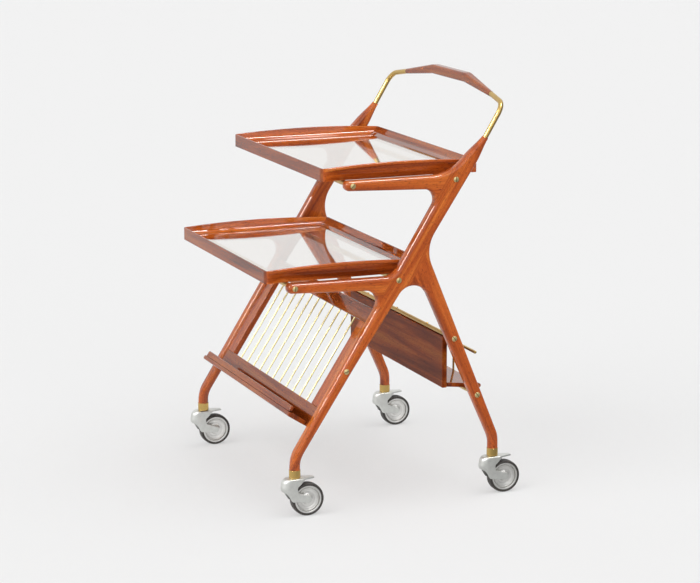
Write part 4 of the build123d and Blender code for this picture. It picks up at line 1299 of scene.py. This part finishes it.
FLOOR_REACH = 60.0
CAMERA_PLACE = (4.279, -1.72555, 1.346)
CAMERA_DOWN, CAMERA_TURN = 12.026, 67.907
CAMERA_LENS, SENSOR_WIDTH = 122.0, 36.0
KEY_WAY, OVERHEAD_WAY, FILL_WAY = (0.2, -0.8, 0.6), (0.19, 0.3, 0.93), (0.95, -0.1, 0.45)
# Direction, strength, angle in degrees, whether it lights matt surfaces, whether it is mirrored.
LAMPS = {
    "key": (KEY_WAY, 1.4, 50.0, True, False),
    "key_sheen": (KEY_WAY, 2.0, 14.0, False, True),
    "overhead": (OVERHEAD_WAY, 1.2, 60.0, True, False),
    "overhead_sheen": (OVERHEAD_WAY, 1.8, 16.0, False, True),
    "fill": (FILL_WAY, 0.9, 60.0, True, True),
}


def by_ray(tree, seen, mirrored, other):
    """One shader for camera and glass rays, one for mirror rays and one for the rest."""
    path = add_node(tree, "LightPath")
    straight = add_node(
        tree, "Math", [(0, path.outputs["Is Camera Ray"]), (1, path.outputs["Is Transmission Ray"])],
        operation="MAXIMUM",
    )
    rest = add_node(
        tree, "MixShader", [(0, path.outputs["Is Glossy Ray"]), (1, other.outputs[0]), (2, mirrored.outputs[0])]
    )
    return add_node(
        tree, "MixShader", [(0, straight.outputs[0]), (1, rest.outputs[0]), (2, seen.outputs[0])]
    ).outputs[0]


def towards_backdrop(tree, coordinates, way, limits, values):
    """A value that eases from one to another between two limits of how far a place or a direction
    lies towards the backdrop."""
    place = add_node(tree, "TexCoord").outputs[coordinates]
    reach = add_node(tree, "VectorMath", [(0, place)], operation="DOT_PRODUCT", in_1=way)
    return add_node(
        tree, "MapRange", [("Value", reach.outputs["Value"])], interpolation_type="SMOOTHSTEP",
        in_From_Min=limits[0], in_From_Max=limits[1], in_To_Min=values[0], in_To_Max=values[1],
    ).outputs["Result"]


def studio_floor(tree):
    """Pale studio floor: a camera or glass ray sees half the backdrop's own colour and half a matt
    surface that keeps the shadows. A mirror ray sees it bright on the backdrop's side, dim on the other."""
    bright = towards_backdrop(tree, "Object", (-0.81, -0.58, 0.0), (-0.9, 0.2), (0.36, 0.95))
    mirrored = add_node(tree, "Emission", [("Strength", bright)], in_Color=shade("floor"))
    matt = add_node(tree, "BsdfDiffuse", in_Color=(0.8, 0.8, 0.8, 1.0))
    dim = add_node(tree, "BsdfDiffuse", in_Color=(0.4, 0.4, 0.4, 1.0))
    glow = add_node(tree, "Emission", in_Color=shade("floor"), in_Strength=0.485)
    shown = add_node(tree, "AddShader", [(0, dim.outputs[0]), (1, glow.outputs[0])])
    return by_ray(tree, shown, mirrored, matt)


def studio_world():
    """White studio. A camera or glass ray sees the backdrop's own colour; a mirror ray sees it on the
    backdrop's side and overhead, and a dimmer room on the other side; the rest is soft fill."""
    world = bpy.data.worlds.new("studio")
    world.use_nodes = True
    tree = world.node_tree
    tree.nodes.clear()
    bright = towards_backdrop(tree, "Generated", (-0.72, -0.52, 0.46), (-0.35, 0.35), (0.36, 1.0))
    fill = add_node(tree, "Background", in_Color=(1.0, 1.0, 1.0, 1.0), in_Strength=0.4)
    plain = add_node(tree, "Background", in_Color=shade("floor"), in_Strength=1.0)
    room = add_node(tree, "Background", [("Strength", bright)], in_Color=shade("floor"))
    add_node(tree, "OutputWorld", [("Surface", by_ray(tree, plain, room, fill))])
    bpy.context.scene.world = world


def sun(name, toward, strength, angle, matt, mirrored):
    """A distant lamp that shines from a direction. One that is matt alone lights surfaces but isn't
    seen in them, and one that is mirrored alone only shows as a highlight."""
    data = bpy.data.lights.new(name, "SUN")
    data.energy = strength
    data.angle = math.radians(angle)
    lamp = bpy.data.objects.new(name, data)
    lamp.rotation_mode = "QUATERNION"
    lamp.rotation_quaternion = Vector(toward).to_track_quat("Z", "Y")
    lamp.visible_diffuse = matt
    lamp.visible_glossy = mirrored
    bpy.context.scene.collection.objects.link(lamp)


class CART_OT_stage(Operator):
    """Pale floor, soft light and the camera"""

    bl_idname = "cart.stage"
    bl_label = "Stage"

    def execute(self, context):
        scene = context.scene
        scene.view_settings.view_transform = "Standard"
        mesh = bpy.data.meshes.new("floor")
        corners = [(x * FLOOR_REACH, y * FLOOR_REACH, 0) for x, y in ((-1, -1), (1, -1), (1, 1), (-1, 1))]
        mesh.from_pydata(corners, [], [(0, 1, 2, 3)])
        floor = bpy.data.objects.new("floor", mesh)
        scene.collection.objects.link(floor)
        mesh.materials.append(new_material("studio_floor", studio_floor))
        studio_world()
        for name, values in LAMPS.items():
            sun(name, *values)
        data = bpy.data.cameras.new("camera")
        data.lens = CAMERA_LENS
        data.sensor_width = SENSOR_WIDTH
        camera = bpy.data.objects.new("camera", data)
        camera.location = CAMERA_PLACE
        camera.rotation_euler = Euler((math.radians(90 - CAMERA_DOWN), 0.0, math.radians(CAMERA_TURN)))
        scene.collection.objects.link(camera)
        scene.camera = camera
        return {"FINISHED"}


OPERATORS = (
    CART_OT_side_frames,
    CART_OT_fittings,
    CART_OT_handle,
    CART_OT_trays,
    CART_OT_rack,
    CART_OT_bin,
    CART_OT_castors,
    CART_OT_stage,
)


class CART_PT_panel(Panel):
    """Sizes, colours and builders of the bar cart"""

    bl_idname = "CART_PT_panel"
    bl_label = "Bar cart"
    bl_space_type = "VIEW_3D"
    bl_region_type = "UI"
    bl_category = "Bar cart"

    def draw(self, context):
        for group in (context.scene.cart_sizes, context.scene.cart_colours):
            column = self.layout.column(align=True)
            for name in group.__annotations__:
                column.prop(group, name)
        for operator in OPERATORS:
            self.layout.operator(operator.bl_idname)


CLASSES = (CartSizes, CartColours, *OPERATORS, CART_PT_panel)


def register():
    """Registers the classes and hangs the two groups on the scene."""
    for item in CLASSES:
        bpy.utils.register_class(item)
    bpy.types.Scene.cart_sizes = PointerProperty(type=CartSizes)
    bpy.types.Scene.cart_colours = PointerProperty(type=CartColours)


def unregister():
    """Takes back what register did."""
    del bpy.types.Scene.cart_sizes
    del bpy.types.Scene.cart_colours
    for item in reversed(CLASSES):
        bpy.utils.unregister_class(item)


def main():
    """Builds the whole cart and its stage."""
    register()
    for operator in OPERATORS:
        group, name = operator.bl_idname.split(".")
        getattr(getattr(bpy.ops, group), name)()


if __name__ == "__main__":
    main()
